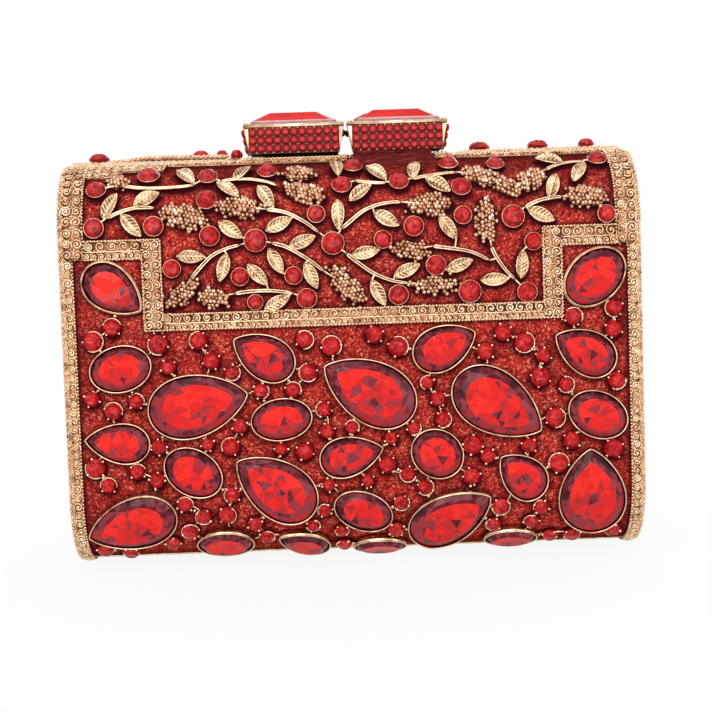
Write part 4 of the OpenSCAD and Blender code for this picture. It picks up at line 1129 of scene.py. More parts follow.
# %% Links between the settings
LINK_REACH = 1.9
links = heap()
lower = [(sheet_place(x, s), ROUND_SIZES[k] / 2) for x, s, k in LOWER_ROUNDS]
rims = []
for x_share, run_share, turn, kind in LARGE_PLACES:
    outline = turned(gem_outline(*KINDS[kind], 40), turn)
    rims.append(outline + sheet_place(x_share, run_share))
linked = 0
for i, (place, r) in enumerate(lower):
    aims = [(np.linalg.norm(other - place) - r - r2, other) for other, r2 in lower[i + 1:]]
    for rim in rims:
        gaps = np.linalg.norm(rim - place, axis=1)
        aims.append((gaps.min() - r, rim[gaps.argmin()]))
    for gap, aim in sorted(aims, key=lambda a: a[0])[:3]:
        if gap < LINK_REACH:
            bow = np.array([-(aim - place)[1], (aim - place)[0]]) * chance.uniform(-0.15, 0.15)
            line = level(smooth_line([place, (place + aim) / 2 + bow, aim], 7), 0.7)
            put_bent(links, wire(line, 0.3), wrap, 0.35)
            ahead = (aim - place) / np.linalg.norm(aim - place)
            knot = place + ahead * (r + gap / 2)
            if chance.random() < 0.7:
                put_grain(links, chance.uniform(0.38, 0.62), [*knot, 0.95], wrap)
            linked += 1
make_pair("setting_links", links, [setting_gilt])
print("links on each half:", linked)

# %% [markdown]
# The vine: stems with a groove down the middle, drawn out to a point at both ends. They are cast,
# and stand off the fabric so that a dark line lies beside them, shadow that is painted on the
# cover. The tone of each face paints the groove darker and one ridge lighter, as light and shade.
# A stem that ends near a stone, a cluster or another stem runs on to it as a thin tendril.

# %% Stems
STEMS = [
    [(-0.79, 0.143), (-0.70, 0.152), (-0.60, 0.152), (-0.53, 0.148)],
    [(-0.44, 0.140), (-0.38, 0.136), (-0.33, 0.138), (-0.28, 0.146), (-0.247, 0.155)],
    [(-0.827, 0.212), (-0.79, 0.203), (-0.74, 0.195), (-0.70, 0.194), (-0.665, 0.195)],
    [(-0.55, 0.333), (-0.51, 0.308), (-0.47, 0.288), (-0.42, 0.276), (-0.376, 0.270)],
    [(-0.270, 0.268), (-0.22, 0.277), (-0.16, 0.297), (-0.12, 0.314), (-0.095, 0.326)],
    [(-0.285, 0.205), (-0.25, 0.208), (-0.21, 0.214), (-0.15, 0.232), (-0.105, 0.252)],
    [(-0.031, 0.246), (0, 0.233), (0.05, 0.213), (0.10, 0.203), (0.15, 0.199), (0.178, 0.200)],
    [(-0.016, 0.293), (0.02, 0.310), (0.075, 0.333), (0.14, 0.349), (0.196, 0.355)],
    [(-0.403, 0.364), (-0.36, 0.361), (-0.30, 0.360), (-0.24, 0.363), (-0.20, 0.368)],
    [(0.280, 0.285), (0.33, 0.289), (0.41, 0.298), (0.475, 0.316)],
    [(0.482, 0.290), (0.495, 0.307), (0.525, 0.333), (0.56, 0.355)],
    [(0.688, 0.137), (0.715, 0.127), (0.765, 0.117), (0.823, 0.114)],
    [(0.60, 0.217), (0.65, 0.205), (0.70, 0.200), (0.73, 0.199)],
    [(0.024, 0.151), (0.06, 0.154), (0.10, 0.157), (0.13, 0.157)],
    [(0.220, 0.150), (0.26, 0.145), (0.31, 0.140), (0.35, 0.137), (0.372, 0.137)]]
CLUSTERS = [
    (-0.565, 0.213, 14.4, 6.8, -12), (-0.375, 0.199, 14.0, 5.8, -5), (-0.580, 0.360, 11.5, 6.0, 40),
    (-0.475, 0.371, 10.0, 5.4, -8), (-0.172, 0.123, 10.0, 6.0, 0), (-0.150, 0.172, 12.5, 6.0, -18),
    (-0.020, 0.355, 14.0, 6.4, -52), (0.275, 0.205, 13.5, 6.6, 0), (0.205, 0.291, 11.5, 6.0, -10),
    (0.290, 0.359, 13.5, 5.6, 0), (-0.790, 0.134, 7.0, 5.0, -20), (0.457, 0.146, 11.5, 6.2, -18),
    (0.548, 0.172, 9.5, 5.2, -25), (0.635, 0.158, 9.6, 6.8, 35), (0.465, 0.238, 12.8, 6.4, 90),
    (0.812, 0.199, 13.0, 6.4, -3)]
STEM_SECTION = [(0.6, 0.0), (0.66, 0.4), (0.48, 0.8), (0.26, 0.72), (0.04, 0.3), (-0.14, 0.55),
                (-0.36, 0.66), (-0.6, 0.35), (-0.6, 0.0), (0.0, -0.15)]
# Painted light and shade on the stem: dark groove and underside, light ridges.
STEM_LIGHT_AND_SHADE = [0.3, 0.5, 0.7, 0.1, 0.1, 0.62, 0.46, 0.3, 0.2, 0.2]
STEM_BASE = 0.75


def vine_stem(pile, flat):
    along = np.gradient(flat, axis=0)
    along /= np.linalg.norm(along, axis=1)[:, None]
    side = np.stack([along[:, 1], -along[:, 0]], 1)
    t = np.linspace(0, 1, len(flat))
    taper = np.minimum(1, 0.3 + 9 * np.minimum(t, 1 - t)) * (1.08 - 0.3 * t)
    rings = [[(*(flat[i] + side[i] * w * taper[i]), STEM_BASE + h * (0.4 + 0.6 * taper[i]))
              for w, h in STEM_SECTION] for i in range(len(flat))]
    put_bent(pile, loft(rings), wrap, STEM_LIGHT_AND_SHADE * (len(flat) - 1) + [0.5, 0.5])


def tendril(pile, start, end):
    """A thin wire from an end of a stem or leaf to what carries it."""
    line = np.column_stack([np.linspace(start, end, 6), np.linspace(1.3, 1.0, 6)])
    put_bent(pile, wire(line, np.linspace(0.28, 0.4, 6)), wrap)


stems = heap()
stem_lines = [smooth_line([sheet_place(*p) for p in line], 30) for line in STEMS]
TENDRIL_REACH, STALK_REACH = 5.5, 4.5
for line in stem_lines:
    vine_stem(stems, line)
    for end, before in ((line[0], line[1]), (line[-1], line[-2])):
        aims = [(sheet_place(x, s), ROUND_SIZES[k] / 2) for x, s, k in UPPER_ROUNDS]
        aims += [(sheet_place(x, s), width / 2) for x, s, _, width, _ in CLUSTERS]
        aims += [(p, 0.3) for other in stem_lines if other is not line for p in other[::3]]
        ahead = (end - before) / np.linalg.norm(end - before)
        far = [(np.linalg.norm(place - end) - r, place) for place, r in aims
               if ahead @ (place - end) > 0.55 * np.linalg.norm(place - end)]
        gap, place = min(far, key=lambda f: f[0])
        if gap < TENDRIL_REACH:
            tendril(stems, end, place)

# %% [markdown]
# A leaf is pointed at both ends and folded along its midrib, with slanting veins and a raised
# edge. It is a small grid whose heights are worked out from those four things, with an underside
# a little below. Where a stem or stone is near enough, a short stalk joins it to the nearest.

# %% Leaves
LEAVES = [
    (-0.817, 0.188, 61), (-0.692, 0.178, 28), (-0.745, 0.227, -48), (-0.560, 0.124, -49),
    (-0.413, 0.161, -39), (-0.545, 0.290, -3), (-0.407, 0.241, -35), (-0.437, 0.313, -107),
    (-0.365, 0.118, 55), (-0.284, 0.180, -57), (-0.243, 0.234, 22), (-0.165, 0.268, 22),
    (-0.257, 0.304, -63), (-0.321, 0.329, -48), (-0.138, 0.334, -67), (-0.257, 0.384, 27),
    (0.040, 0.177, 38), (-0.040, 0.219, -90), (-0.037, 0.109, -85), (0.100, 0.130, -48),
    (0.229, 0.125, 80), (0.308, 0.166, -34), (0.125, 0.230, -28), (0.335, 0.250, -55),
    (0.050, 0.293, 10), (0.190, 0.330, 24), (0.090, 0.372, -63), (0.370, 0.323, 20),
    (0.490, 0.353, 2), (0.585, 0.325, 85), (0.655, 0.232, -23), (0.702, 0.177, 70),
    (0.798, 0.145, 60), (0.705, 0.108, -22)]
LEAF_LEN, LEAF_WIDTH = 8.5, 3.8
VEIN_PITCH = 1.15
VEIN_RISE, EDGE_RISE = 0.3, 0.34


def leaf_form(lean_side):
    """Upper side and underside of one leaf, folded a little more on one side."""
    along, across = np.linspace(-1, 1, 37), np.linspace(-1, 1, 15)
    t, v = np.meshgrid(along, across, indexing="ij")
    half = LEAF_WIDTH / 2 * (1 - t * t) ** 0.8 * (1 - 0.12 * t)
    x, y = t * LEAF_LEN / 2, v * half
    fold = 0.7 * np.abs(v) * (half / (LEAF_WIDTH / 2)) * (1 + 0.5 * lean_side * np.sign(v))
    vein = VEIN_RISE * np.cos(2 * math.pi * (x - 0.9 * np.abs(y)) / VEIN_PITCH) * (1 - np.abs(v) ** 6)
    edge = EDGE_RISE * np.exp(-((np.abs(v) - 0.92) / 0.1) ** 2)
    midrib = EDGE_RISE * np.exp(-(y / 0.17) ** 2)
    arch = 0.35 * (1 - t * t)
    z = 1.05 + fold + vein * np.minimum(1, half / 0.8) + edge + midrib + arch
    n, m = x.shape
    upper = np.stack([x, y, z], 2).reshape(-1, 3)
    under = np.stack([x, y, 0.75 + fold + arch], 2).reshape(-1, 3)
    quads = [(i * m + j, (i + 1) * m + j, (i + 1) * m + j + 1, i * m + j + 1)
             for i in range(n - 1) for j in range(m - 1)]
    # The tones are painted light and shade: veins, edge and midrib lighter, hollows and the side folded
    # away darker.
    height = (vein / VEIN_RISE * 0.6 + edge / EDGE_RISE + midrib / EDGE_RISE - 0.3) * 0.75
    height = height - 0.16 * (1 - lean_side * np.sign(v)) * (np.abs(v) > 0.1)
    tones = [0.46 + 0.4 * float(height[q // m, q % m]) for q, *_ in quads]
    size = n * m
    faces = quads + [tuple(size + k for k in q[::-1]) for q in quads]
    for i in range(n - 1):
        for j in (0, m - 1):
            a, b = i * m + j, (i + 1) * m + j
            faces.append((a, a + size, b + size, b) if j == 0 else (b, b + size, a + size, a))
    tones += [0.4] * (len(faces) - len(tones))
    return np.concatenate([upper, under]), faces, tones


leaves = heap()
anchors = [(line, 0.4) for line in stem_lines]
anchors += [(sheet_place(x, s)[None], ROUND_SIZES[k] / 2) for x, s, k in UPPER_ROUNDS]
for i, (x_share, run_share, turn) in enumerate(LEAVES):
    points, faces, tones = leaf_form(1 if i % 2 else -1)
    place = sheet_place(x_share, run_share)
    put(leaves, laid(points, place, turn), faces, tones)
    stalks = []
    for end in (-1, 1):
        tip = turned([[end * LEAF_LEN * 0.47, 0]], turn)[0] + place
        for line, r in anchors:
            far = np.linalg.norm(line - tip, axis=1)
            stalks.append((far.min() - r, tip, line[far.argmin()]))
    gap, tip, root = min(stalks, key=lambda s: s[0])
    if gap < STALK_REACH:
        tendril(stems, tip, root)
make_pair("cast_stems", stems, [vine_gilt], ["vine_stems"])
make_pair("cast_leaves", leaves, [vine_gilt], ["vine_leaves"])

# %% [markdown]
# A berry cluster is a heap of balls about 1.4 mm across, two deep in the middle. They sit on a
# loose honeycomb over a ground painted dark as shade, higher towards the middle. No two are quite
# level, a few stand out, and the low ones are painted darker, as shade.

# %% Berry clusters
BERRY_R = 0.7


def berry_cluster(pile, place, length, width, turn):
    step = 1.66 * BERRY_R
    for row in range(-8, 9):
        for column in range(-12, 13):
            x = (column + (row % 2) / 2) * step + chance.uniform(-0.2, 0.2)
            y = row * step * 0.87 + chance.uniform(-0.2, 0.2)
            reach = math.hypot(2 * x / length, 2 * y / width)
            if reach > 1.02 + chance.uniform(-0.26, 0.2):
                continue
            lifted = chance.uniform(-0.4, 0.5)
            z = 0.75 + 1.1 * max(0, 1 - reach ** 2) + lifted
            ball = GRAIN * BERRY_R * chance.uniform(0.78, 1.14) + [x, y, z]
            # Painted shade: a lower ball gets a darker tone.
            put(pile, laid(ball, place, turn), GRAIN_FACES, 0.5 + 0.4 * lifted)
            if reach < 0.9:
                # The ground between the balls is painted dark, as shade.
                base = GRAIN * [0.8, 0.8, 0.3] + [x, y, 0.4 + 0.6 * max(0, 1 - reach ** 2)]
                put(pile, laid(base, place, turn), GRAIN_FACES, 0.1)


berries = heap()
for x_share, run_share, length, width, turn in CLUSTERS:
    berry_cluster(berries, sheet_place(x_share, run_share), length, width, turn)
make_pair("gilt_berries", berries, [berry_gilt], ["berry_clusters"])

# %% [markdown]
# The glitter cover comes last of the sheet, because the ornaments tell where it is dark. Its tone
# is painted shade: it falls off beside each ornament, more below an ornament than above, as the
# shadow of settings that stand two millimetres high, and towards the seam, where the cloth faces
# up, away from the light in front. It is also a little darker towards the ends, and between the
# ornaments it comes and goes in patches.

# %% The glitter cover
FAR = 200.0
SHADE_REACH = 1.5
SHADE_DROP = 0.7


def ornament_spots():
    """Circles (x, u, radius) that the ornaments fill, and strips (x1, x2, s1, s2) of filigree."""
    spots = [(*sheet_place(x, s), ROUND_SIZES[k] / 2) for x, s, k in UPPER_ROUNDS + LOWER_ROUNDS]
    spots += [(*p, 0.0) for rim in rims for p in rim]
    spots += [(*p, 0.5) for line in stem_lines for p in line]
    forms = [(x, s, LEAF_LEN, LEAF_WIDTH, turn) for x, s, turn in LEAVES] + CLUSTERS
    for x_share, run_share, length, width, turn in forms:
        for t in (-0.8, -0.4, 0, 0.4, 0.8):
            spot = turned([[t * length / 2, 0]], turn)[0] + sheet_place(x_share, run_share)
            spots.append((*spot, width / 2 * (1 - 0.6 * t * t)))
    x1, x2, x3, x4 = FLAP_X
    side, foot = FLAP_SIDE, FLAP_FOOT
    strips = [
        (-FAR, FAR, -FAR, RIM_W), (-FAR, PATCH_WIDE[0], -FAR, PATCH_WIDE[1]),
        (-FAR, -UPPER_IN, -FAR, side[1]), (UPPER_IN, FAR, -FAR, side[1]),
        (-FAR, -LOWER_IN, -FAR, FAR), (LOWER_IN, FAR, -FAR, FAR), (-FAR, x1, *side), (x4, FAR, *side),
        (x1, x2, side[0], foot[1]), (x3, x4, side[0], foot[1]), (x2, x3, *foot),
        (-FAR, FAR, BASE_START, FAR)]
    return spots, strips


def room_beside(flat):
    """How far each point of the sheet lies from the nearest ornament."""
    spots, strips = ornament_spots()
    room = np.full(len(flat), FAR)
    for x, u, r in spots:
        room = np.minimum(room, np.hypot(flat[:, 0] - x, flat[:, 1] - u + SHADE_DROP) - r)
    for x1, x2, s1, s2 in strips:
        aside = np.maximum(np.maximum(x1 - flat[:, 0], flat[:, 0] - x2), 0)
        below = np.maximum(np.maximum(s1 + flat[:, 1], -flat[:, 1] - s2), 0)
        room = np.minimum(room, np.hypot(aside, below))
    return room


cover = heap()
flat = tray(cover, 0.0, SKIN_HALF_LEN, step=0.8)
mouth_return(cover, 0.0, -0.4, SKIN_HALF_LEN, SKIN_HALF_LEN - 0.4)
# Painted shade: darker near the seam, where the cloth faces up.
painted_shade_by_seam = np.interp(-flat[:, 1], (9, 17, 27), (0.15, 0.6, 1))
by_end = np.interp(np.abs(flat[:, 0]), (72, 78), (1, 0.75))
patches = 0.93 + 0.3 * (np.sin(flat[:, 0] / 2.3 + 2 * np.sin(flat[:, 1] / 4.1))
                     * np.sin(flat[:, 1] / 1.9 + 2 * np.sin(flat[:, 0] / 4.7)))
# Painted shadow beside and below each ornament.
painted_shadow_beside = np.clip((room_beside(flat) - 0.1) / SHADE_REACH, 0, 1)
shade = np.full(cover["size"], 0.8)
shade[:len(flat)] = painted_shadow_beside * np.clip(patches, 0.4, 1) * painted_shade_by_seam * by_end
for piece in make_pair("glitter_cover", cover, [glitter], ["cover"], solid=False):
    for face in piece.data.polygons:
        face.use_smooth = len(face.vertices) == 4 and abs(face.normal.x) < 0.5
    corner = np.zeros(len(piece.data.loops), int)
    piece.data.loops.foreach_get("vertex_index", corner)
    write_tones(piece.data, shade[corner])
print("share of the fabric in full light:", round(float((shade > 0.95).mean()), 2))

# %% [markdown]
# The clasp: a block on each half, and one catches behind the other. A block is a gilt box whose
# ends lean in towards the bottom, with three rows of rhinestones on both long sides and on its
# outer end, a rounded gilt rim and one long crystal on top. The boxes are drawn here again with
# soft edges, because a bevel is what makes a cast box shine along its corners. The flat underside
# of each box is painted near black, as the shadow beneath it.

# %% Case and rim of a block
BLOCK_X = (0.45, 30.85)
BLOCK_HALF_Y = 6.5
BLOCK_Z = (121.6, 129.4)
BLOCK_LEAN = 1.5
BLOCK_MID = sum(BLOCK_X) / 2
BLOCK_RIM = (15.25, 6.85)


def soften(pile, points, faces, width):
    """Round the edges of a solid before it goes on the heap."""
    form = bmesh.new()
    corners = [form.verts.new(p) for p in points]
    for face in faces:
        form.faces.new([corners[i] for i in face])
    bmesh.ops.recalc_face_normals(form, faces=form.faces)
    bmesh.ops.bevel(form, geom=form.edges[:], offset=width, segments=2, profile=0.5,
                    affect="EDGES")
    form.verts.index_update()
    put(pile, [v.co[:] for v in form.verts], [[v.index for v in f.verts] for f in form.faces])
    form.free()


# Painted shadow for the underside of the box, drawn as dark felt.
underside_shadow, tree, shader = new_finish("dark felt under the clasp")
fibres = noise(tree, object_place(tree), 0.8, 4.0)
tree.links.new(shade_stops(tree, fibres, [(0.3, "#16080A"), (0.7, "#3A1014")]),
               shader.inputs["Base Color"])
shader.inputs["Roughness"].default_value = 0.9
shader.inputs["Specular IOR Level"].default_value = 0.1
case = heap()
x1, x2 = BLOCK_X
low, high = BLOCK_Z
ring = [(x1 + BLOCK_LEAN, low), (x2 - BLOCK_LEAN, low), (x2, high), (x1, high)]
box_points, box_faces = loft([[(x, y, z) for x, z in ring] for y in (BLOCK_HALF_Y, -BLOCK_HALF_Y)])
soften(case, box_points, box_faces, 0.3)
heights = [[case["points"][0][i][2] for i in face] for face in case["faces"]]
# The flat underside takes the painted shadow.
case["finish"] = [int(np.ptp(zs) < 0.01 and zs[0] < low + 0.1) for zs in heights]
case["tones"] = [0.38] * len(case["faces"])
make_pair("clasp_box", case, [setting_gilt, underside_shadow], ["clasp_case"], "knob")


def frame_ring(z, inset):
    x, y = BLOCK_RIM[0] - inset, BLOCK_RIM[1] - inset
    return [(BLOCK_MID + sx * x, sy * y, z) for sx, sy in ((1, -1), (1, 1), (-1, 1), (-1, -1))]


rim = heap()
rings = [frame_ring(z, inset) for z, inset in (
    (129.35, 0.15), (129.6, 0.0), (130.25, 0.0), (130.55, 0.25), (130.6, 0.6), (130.5, 1.6),
    (130.2, 1.95), (129.5, 2.0), (129.35, 0.15))]
put(rim, *loft(rings, closed_ends=False))
for x in (BLOCK_X[0] + 1.0, BLOCK_X[1] - 0.9):
    for y in (5.9, -5.9):
        put(rim, GRAIN * [0.75, 0.75, 0.6] + [x, y, 130.6], GRAIN_FACES)
make_pair("clasp_frame", rim, [setting_gilt], ["clasp_rim"], "knob")

# %% [markdown]
# The long crystal has a straight clear edge at the bottom, long end facets, and a narrow table.
# Rings with cut corners make it, and the tones of the facets, which are painted light and
# reflection, are chosen one by one. The clear edge is painted pale, as the light seen through it.

# %% The long crystal of a block
CORNER_CUT = 0.16
TIERS = [(26.3, 8.9, 0.2), (26.3, 8.9, 1.9), (25.3, 8.2, 2.35), (19.75, 6.65, 3.65), (15.0, 3.9, 4.8)]
TIER_PAINTED_LIGHT = [
    [0.4] * 8, [0.7, 0.6, 0.8, 0.9] * 2, [0.62, 0.5, 0.66, 0.55, 0.62, 0.5, 0.66, 0.56],
    [0.62, 0.44, 0.7, 0.5, 0.62, 0.44, 0.7, 0.68], [0.4, 0.64]]
EDGE_FACES = 16


def cut_corner_ring(length, depth, z):
    c, x, y = depth * CORNER_CUT, length / 2, depth / 2
    return [(BLOCK_MID + px, py, high + z) for px, py in (
        (x, -y + c), (x, y - c), (x - c, y), (-x + c, y), (-x, y - c), (-x, -y + c),
        (-x + c, -y), (x - c, -y))]


crystal = heap()
points, faces = loft([cut_corner_ring(*tier) for tier in TIERS])
tones = [tone for tier in TIER_PAINTED_LIGHT for tone in tier]
put(crystal, points, faces[:EDGE_FACES], tones[:EDGE_FACES], finish=1)
put(crystal, points, faces[EDGE_FACES:], tones[EDGE_FACES:], finish=0)
make_pair("clasp_long_crystal", crystal, [large_crystal, painted_pale_edge],
          ["clasp_crystal"], "knob", smooth=False)

# %% [markdown]
# The rhinestones are small domes with eight facets, set in rows so close that they touch, over a
# dark red ground. A tiny grain of gilt shows wherever four of them meet.

# %% Rhinestones of a block
CHIP_R = 1.24
CHIP_PITCH_X, CHIP_PITCH_Z = 2.5, 2.4375
CHIP_ROWS = 3
CHIP_CUT = ((0.05, 0.35, 0.8, 0.95), (0.82, 0.5), 0.9)
chips, grains = heap(), heap()


def set_chip(to_face, at):
    circle = gem_outline(2 * CHIP_R, 2 * CHIP_R, 0, 16)
    points, faces, tones = cut_crystal(circle, *CHIP_CUT, (0, 1.0), lit_chip, 0.0)
    put(chips, to_face(points + [*at, 0]), faces, tones)


def face_front(side):
    middle_z = (low + high) / 2
    return lambda p: np.stack([BLOCK_MID - side * p[:, 0], side * (BLOCK_HALF_Y + p[:, 2]),
                               middle_z + p[:, 1]], 1)


def face_outer(p):
    tilt = math.atan(BLOCK_LEAN / (high - low))
    x = BLOCK_X[1] - BLOCK_LEAN / 2 + p[:, 1] * math.sin(tilt) + p[:, 2] * math.cos(tilt)
    z = (low + high) / 2 + p[:, 1] * math.cos(tilt) - p[:, 2] * math.sin(tilt)
    return np.stack([x, p[:, 0], z], 1)


for to_face, columns in ((face_front(1), 11), (face_front(-1), 11), (face_outer, 5)):
    wide, tall = CHIP_PITCH_X * columns / 2, CHIP_PITCH_Z * CHIP_ROWS / 2
    ground = loft([[(x * wide, y * tall, z) for x, y in ((-1, -1), (1, -1), (1, 1), (-1, 1))]
                   for z in (0.0, 0.12)])
    put_bent(chips, ground, to_face, 0.0)
    for i in range(columns):
        for k in range(CHIP_ROWS):
            at = ((i - (columns - 1) / 2) * CHIP_PITCH_X, (k - 1) * CHIP_PITCH_Z)
            set_chip(to_face, at)
            if i < columns - 1:
                for rise in (-0.5, 0.5):
                    spot = [at[0] + CHIP_PITCH_X / 2, at[1] + rise * CHIP_PITCH_Z, 0.4]
                    put_grain(grains, 0.26, spot, to_face)
make_pair("clasp_chips", chips, [chip_crystal], ["clasp_rhinestones"],
          "knob", smooth=False)
make_pair("clasp_grains", grains, [setting_gilt], (), "knob")

# %% [markdown]
# Inside, the bag is lined with thin satin glued to the shell. It is worn nearly matt, its colour
# is a little cloudy, and faint puckers show where it is glued. They are a wave pattern, which
# turns twenty radians in each unit of its scale.

# %% Satin lining
def satin_lining():
    material, tree, shader = new_finish("dark red satin lining")
    place = object_place(tree)
    puckers = add_node(tree, "ShaderNodeTexWave", {"bands_direction": "X"}, Vector=place,
                       Scale=1 / (1.2 * MM) / 20, Distortion=0.6)
    tone = shade_stops(tree, noise(tree, place, 20), [(0.3, "#4E0E16"), (0.7, "#7E1A24")])
    tree.links.new(tone, shader.inputs["Base Color"])
    raise_by(tree, shader, puckers.outputs["Fac"], 0.2, 0.06)
    shader.inputs["Roughness"].default_value = 0.5
    shader.inputs["Specular IOR Level"].default_value = 0.18
    return material


satin = satin_lining()
LINING_O = -3.2
LINING_X = SKIN_HALF_LEN + LINING_O
lining = heap()
tray(lining, LINING_O, LINING_X, flipped=True, step=2.0)
mouth_return(lining, -2.85, LINING_O, LINING_X + 0.35, LINING_X)
make_pair("satin_lining", lining, [satin], ["lining"], solid=False)

# %% [markdown]
# The stiff parts keep their own solids and get their finish: a moulded black-brown shell of ABS
# under the fabric, brass for the mouth frame, hinge and pins, pale gilt for the catches, and
# plain dark cloth over the foot of each block, rubbed pale in streaks along the bag. The dark red
# of that cloth is partly painted shade, as it lies under the block.

# %% Finishes of the solids that stay
def moulded_shell():
    material, tree, shader = new_finish("moulded black ABS")
    grit = noise(tree, object_place(tree), 0.6)
    tone = shade_stops(tree, grit, [(0.3, "#1C1614"), (0.7, "#2C2320")])
    tree.links.new(tone, shader.inputs["Base Color"])
    raise_by(tree, shader, grit, 0.15, 0.05)
    shader.inputs["Roughness"].default_value = 0.55
    return material


def covered_foot():
    material, tree, shader = new_finish("plain dark red cloth")
    stretched = add_node(tree, "ShaderNodeMapping", Vector=object_place(tree), Scale=(0.3, 1, 1))
    ribs = noise(tree, stretched.outputs["Vector"], 1.1, 4.0)
    tone = shade_stops(tree, ribs, [(0.3, "#3A0C10"), (0.55, "#741C20"), (0.75, "#A0443C")])
    tree.links.new(tone, shader.inputs["Base Color"])
    raise_by(tree, shader, ribs, 0.3, 0.1)
    shader.inputs["Roughness"].default_value = 0.7
    shader.inputs["Specular IOR Level"].default_value = 0.15
    return material


def finish_nodes(finish, *kinds):
    for name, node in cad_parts.items():
        if name.endswith(kinds):
            if not node.material_slots:
                node.data.materials.append(finish)
            for place in node.material_slots:
                place.material = finish
            print(name, "-", finish.name)


finish_nodes(moulded_shell(), "_shell")
finish_nodes(brass, "mouth_frame", "hinge_leaf", "hinge_pin", "clasp_pivot")
finish_nodes(pale_gilt, "clasp_stem", "clasp_catch")
# Partly painted shade: the cloth is dark where the block shades it.
cloth_with_painted_shade = covered_foot()
finish_nodes(cloth_with_painted_shade, "clasp_foot")

# %% [markdown]
# The same cloth hangs as a short valance below the outer side of each block, so that no light
# comes through under it. It is a dark sheet that stands for the shadow there, painted shadow. It
# is a strip with a soft lower edge that waves a little, and it rides on the block. Before it lies a
# soft pad of the same dark cloth, also painted shadow, glued to the half that carries the block.
# Both stay clear of what the other half brings past them when the bag opens.

# %% Valance and pad of the clasp
PAD_X, VALANCE_X = (1.2, 27.0), (2.3, 25.8)
PAD_PROFILE = ((6.75, 0.1), (6.75, 1.75), (7.2, 2.25), (8.0, 2.4), (9.0, 2.1), (10.4, 1.4),
               (12.0, 0.7), (13.4, 0.1))
pad = heap()
rings = []
for x in np.linspace(*PAD_X, 52):
    from_end = min(x - PAD_X[0], PAD_X[1] - x)
    full = min(1, 0.25 + 0.5 * from_end) * (1 + 0.05 * math.sin(2.3 * x))
    rings.append([(x, -s, o * full) for s, o in PAD_PROFILE])
put_bent(pad, loft(rings), wrap)
# The dark pad is painted shadow before the block.
make_pair("clasp_pad", pad, [cloth_with_painted_shade])
valance = heap()
rings = []
for x in np.linspace(*VALANCE_X, 60):
    fold = 0.08 * math.sin(1.9 * x)
    rings.append([(x, y, low + z) for y, z in (
        (-6.05, 0.3), (-6.45, 0.3), (-6.5 + fold, -0.5), (-6.4 + fold, -1.15),
        (-6.15 + fold, -1.15), (-6.05, -0.3))])
put(valance, *loft(rings))
# The dark valance is painted shadow under the block.
make_pair("clasp_valance", valance, [cloth_with_painted_shade], (), "knob")

# %% [markdown]
# The stage: a pale floor and a soft, even light like that of a light tent. The camera, metal and
# glass look through the floor at the white tent and see only a share of it, its shadow. So the
# half that dips below the floor when the bag opens stays in sight. The lamps give a plain level,
# at which a colour comes out about as it was written.

# %% Floor, light and background
def white_to_eyes(tree, lit, hidden, white):
    """White for the camera, mirrors and glass; the lit surface for all other light.

    Hidden is the share of white: below 1 a little of the lit surface, and so of the shadow, shows.
    """
    path = add_node(tree, "ShaderNodeLightPath").outputs
    seen = maths(tree, "MAXIMUM", path["Is Camera Ray"], path["Is Glossy Ray"])
    seen = maths(tree, "MAXIMUM", seen, path["Is Transmission Ray"])
    share = maths(tree, "MULTIPLY", seen, hidden)
    return add_node(tree, "ShaderNodeMixShader", i0=share, i1=lit, i2=white).outputs["Shader"]


def show(tree, output_kind, surface):
    output = next(node for node in tree.nodes if node.type == output_kind)
    tree.links.new(surface, output.inputs["Surface"])


FLOOR_HALF, FLOOR_DROP = 6, 0.0001
CLEAR_TO, FADED_AT = 0.06, 0.17
floor_finish, tree, shader = new_finish("pale floor")
shader.inputs["Base Color"].default_value = colour("#F4F2F0")
shader.inputs["Roughness"].default_value = 0.8
from_bag = add_node(tree, "ShaderNodeVectorMath", {"operation": "LENGTH"}, i0=object_place(tree))
hidden = add_node(tree, "ShaderNodeMapRange", Value=from_bag.outputs["Value"],
                  From_Min=CLEAR_TO, From_Max=FADED_AT, To_Min=0.9, To_Max=1.0)
clear = add_node(tree, "ShaderNodeBsdfTransparent").outputs["BSDF"]
mixed = white_to_eyes(tree, shader.outputs["BSDF"], hidden.outputs["Result"], clear)
from_below = add_node(tree, "ShaderNodeNewGeometry").outputs["Backfacing"]
mixed = add_node(tree, "ShaderNodeMixShader", i0=from_below, i1=mixed, i2=clear)
show(tree, "OUTPUT_MATERIAL", mixed.outputs["Shader"])
floor_mesh = bpy.data.meshes.new("floor")
floor_mesh.from_pydata([(x * FLOOR_HALF, y * FLOOR_HALF, -FLOOR_DROP)
                        for x, y in ((-1, -1), (1, -1), (1, 1), (-1, 1))], [], [(0, 1, 2, 3)])
floor = add_object("floor", floor_mesh)
floor_mesh.materials.append(floor_finish)
floor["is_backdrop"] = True

world = bpy.data.worlds.new("light tent")
bpy.context.scene.world = world
world.use_nodes = True
tree = world.node_tree
tent = tree.nodes["Background"]
tent.inputs["Color"].default_value = colour("#F6F3F0")
tent.inputs["Strength"].default_value = 0.34
white = add_node(tree, "ShaderNodeEmission", Color=(1, 1, 1, 1), Strength=1.0)
mixed = white_to_eyes(tree, tent.outputs["Background"], 1.0, white.outputs["Emission"])
show(tree, "OUTPUT_WORLD", mixed)


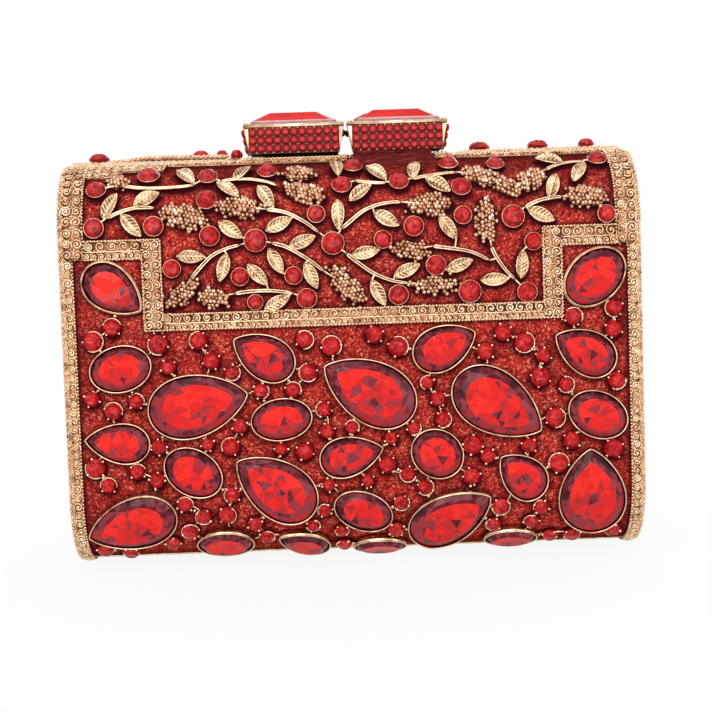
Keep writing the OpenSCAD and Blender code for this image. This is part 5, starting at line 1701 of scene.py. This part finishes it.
def lamp(name, place, aim, size, power, tint="#FFFFFF"):
    light = bpy.data.lights.new(name, "AREA")
    light.size = size
    light.energy = power
    light.color = colour(tint)[:3]
    lamp_object = add_object(name, light)
    lamp_object.location = place
    lamp_object.rotation_euler = (Vector(aim) - Vector(place)).to_track_quat("-Z", "Y").to_euler()


lamp("key in front", (-0.15, -0.9, 0.4), (0, 0, 0.06), 0.7, 4.6, "#FFFAF4")
lamp("fill right", (0.6, -0.7, 0.15), (0, 0, 0.06), 0.6, 1.4)
lamp("above", (-0.1, -0.15, 0.95), (0, 0, 0.1), 0.5, 1.2)
lamp("behind", (0.25, 0.85, 0.4), (0, 0, 0.08), 0.7, 3.6)

# %% [markdown]
# The camera stands almost level with the bag, a little to one side and slightly rolled, as in
# the photograph. Its distance and lens were worked out from how the edges of the bag converge.

# %% Camera
AIM = np.array([0.0, 0.0, 58.0])
DISTANCE = 449.03
RISE, YAW, ROLL = (math.radians(d) for d in (4.0, -1.04, 1.92))
FOCAL_PIXELS, PICTURE = 1449.0, 712
SHIFT_PIXELS = (3.25, 3.5)
SENSOR = 36.0

back = np.array([math.sin(YAW) * math.cos(RISE), -math.cos(YAW) * math.cos(RISE), math.sin(RISE)])
right = np.cross([0, 0, 1], back)
right /= np.linalg.norm(right)
above = np.cross(back, right)
c, s = math.cos(ROLL), math.sin(ROLL)
right, above = c * right - s * above, s * right + c * above
spot = (AIM + DISTANCE * back) * MM
view = bpy.data.cameras.new("camera")
view.sensor_width = SENSOR
view.lens = FOCAL_PIXELS / PICTURE * SENSOR
view.shift_x, view.shift_y = (shift / PICTURE for shift in SHIFT_PIXELS)
view.clip_start, view.clip_end = 0.01, 50
camera = add_object("camera", view)
camera.matrix_world = Matrix([[right[k], above[k], back[k], spot[k]] for k in range(3)]
                             + [[0, 0, 0, 1]])
bpy.context.scene.camera = camera
bpy.context.scene.view_settings.view_transform = "Standard"
print("lens:", round(view.lens, 2), "mm")

# %% Check the size
bpy.context.view_layer.update()
dressed_box = [list(corner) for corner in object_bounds()]
for name, found in (("frame", cad_box), ("dressed", dressed_box)):
    print(name, [round((found[1][k] - found[0][k]) / MM, 2) for k in range(3)], "mm")
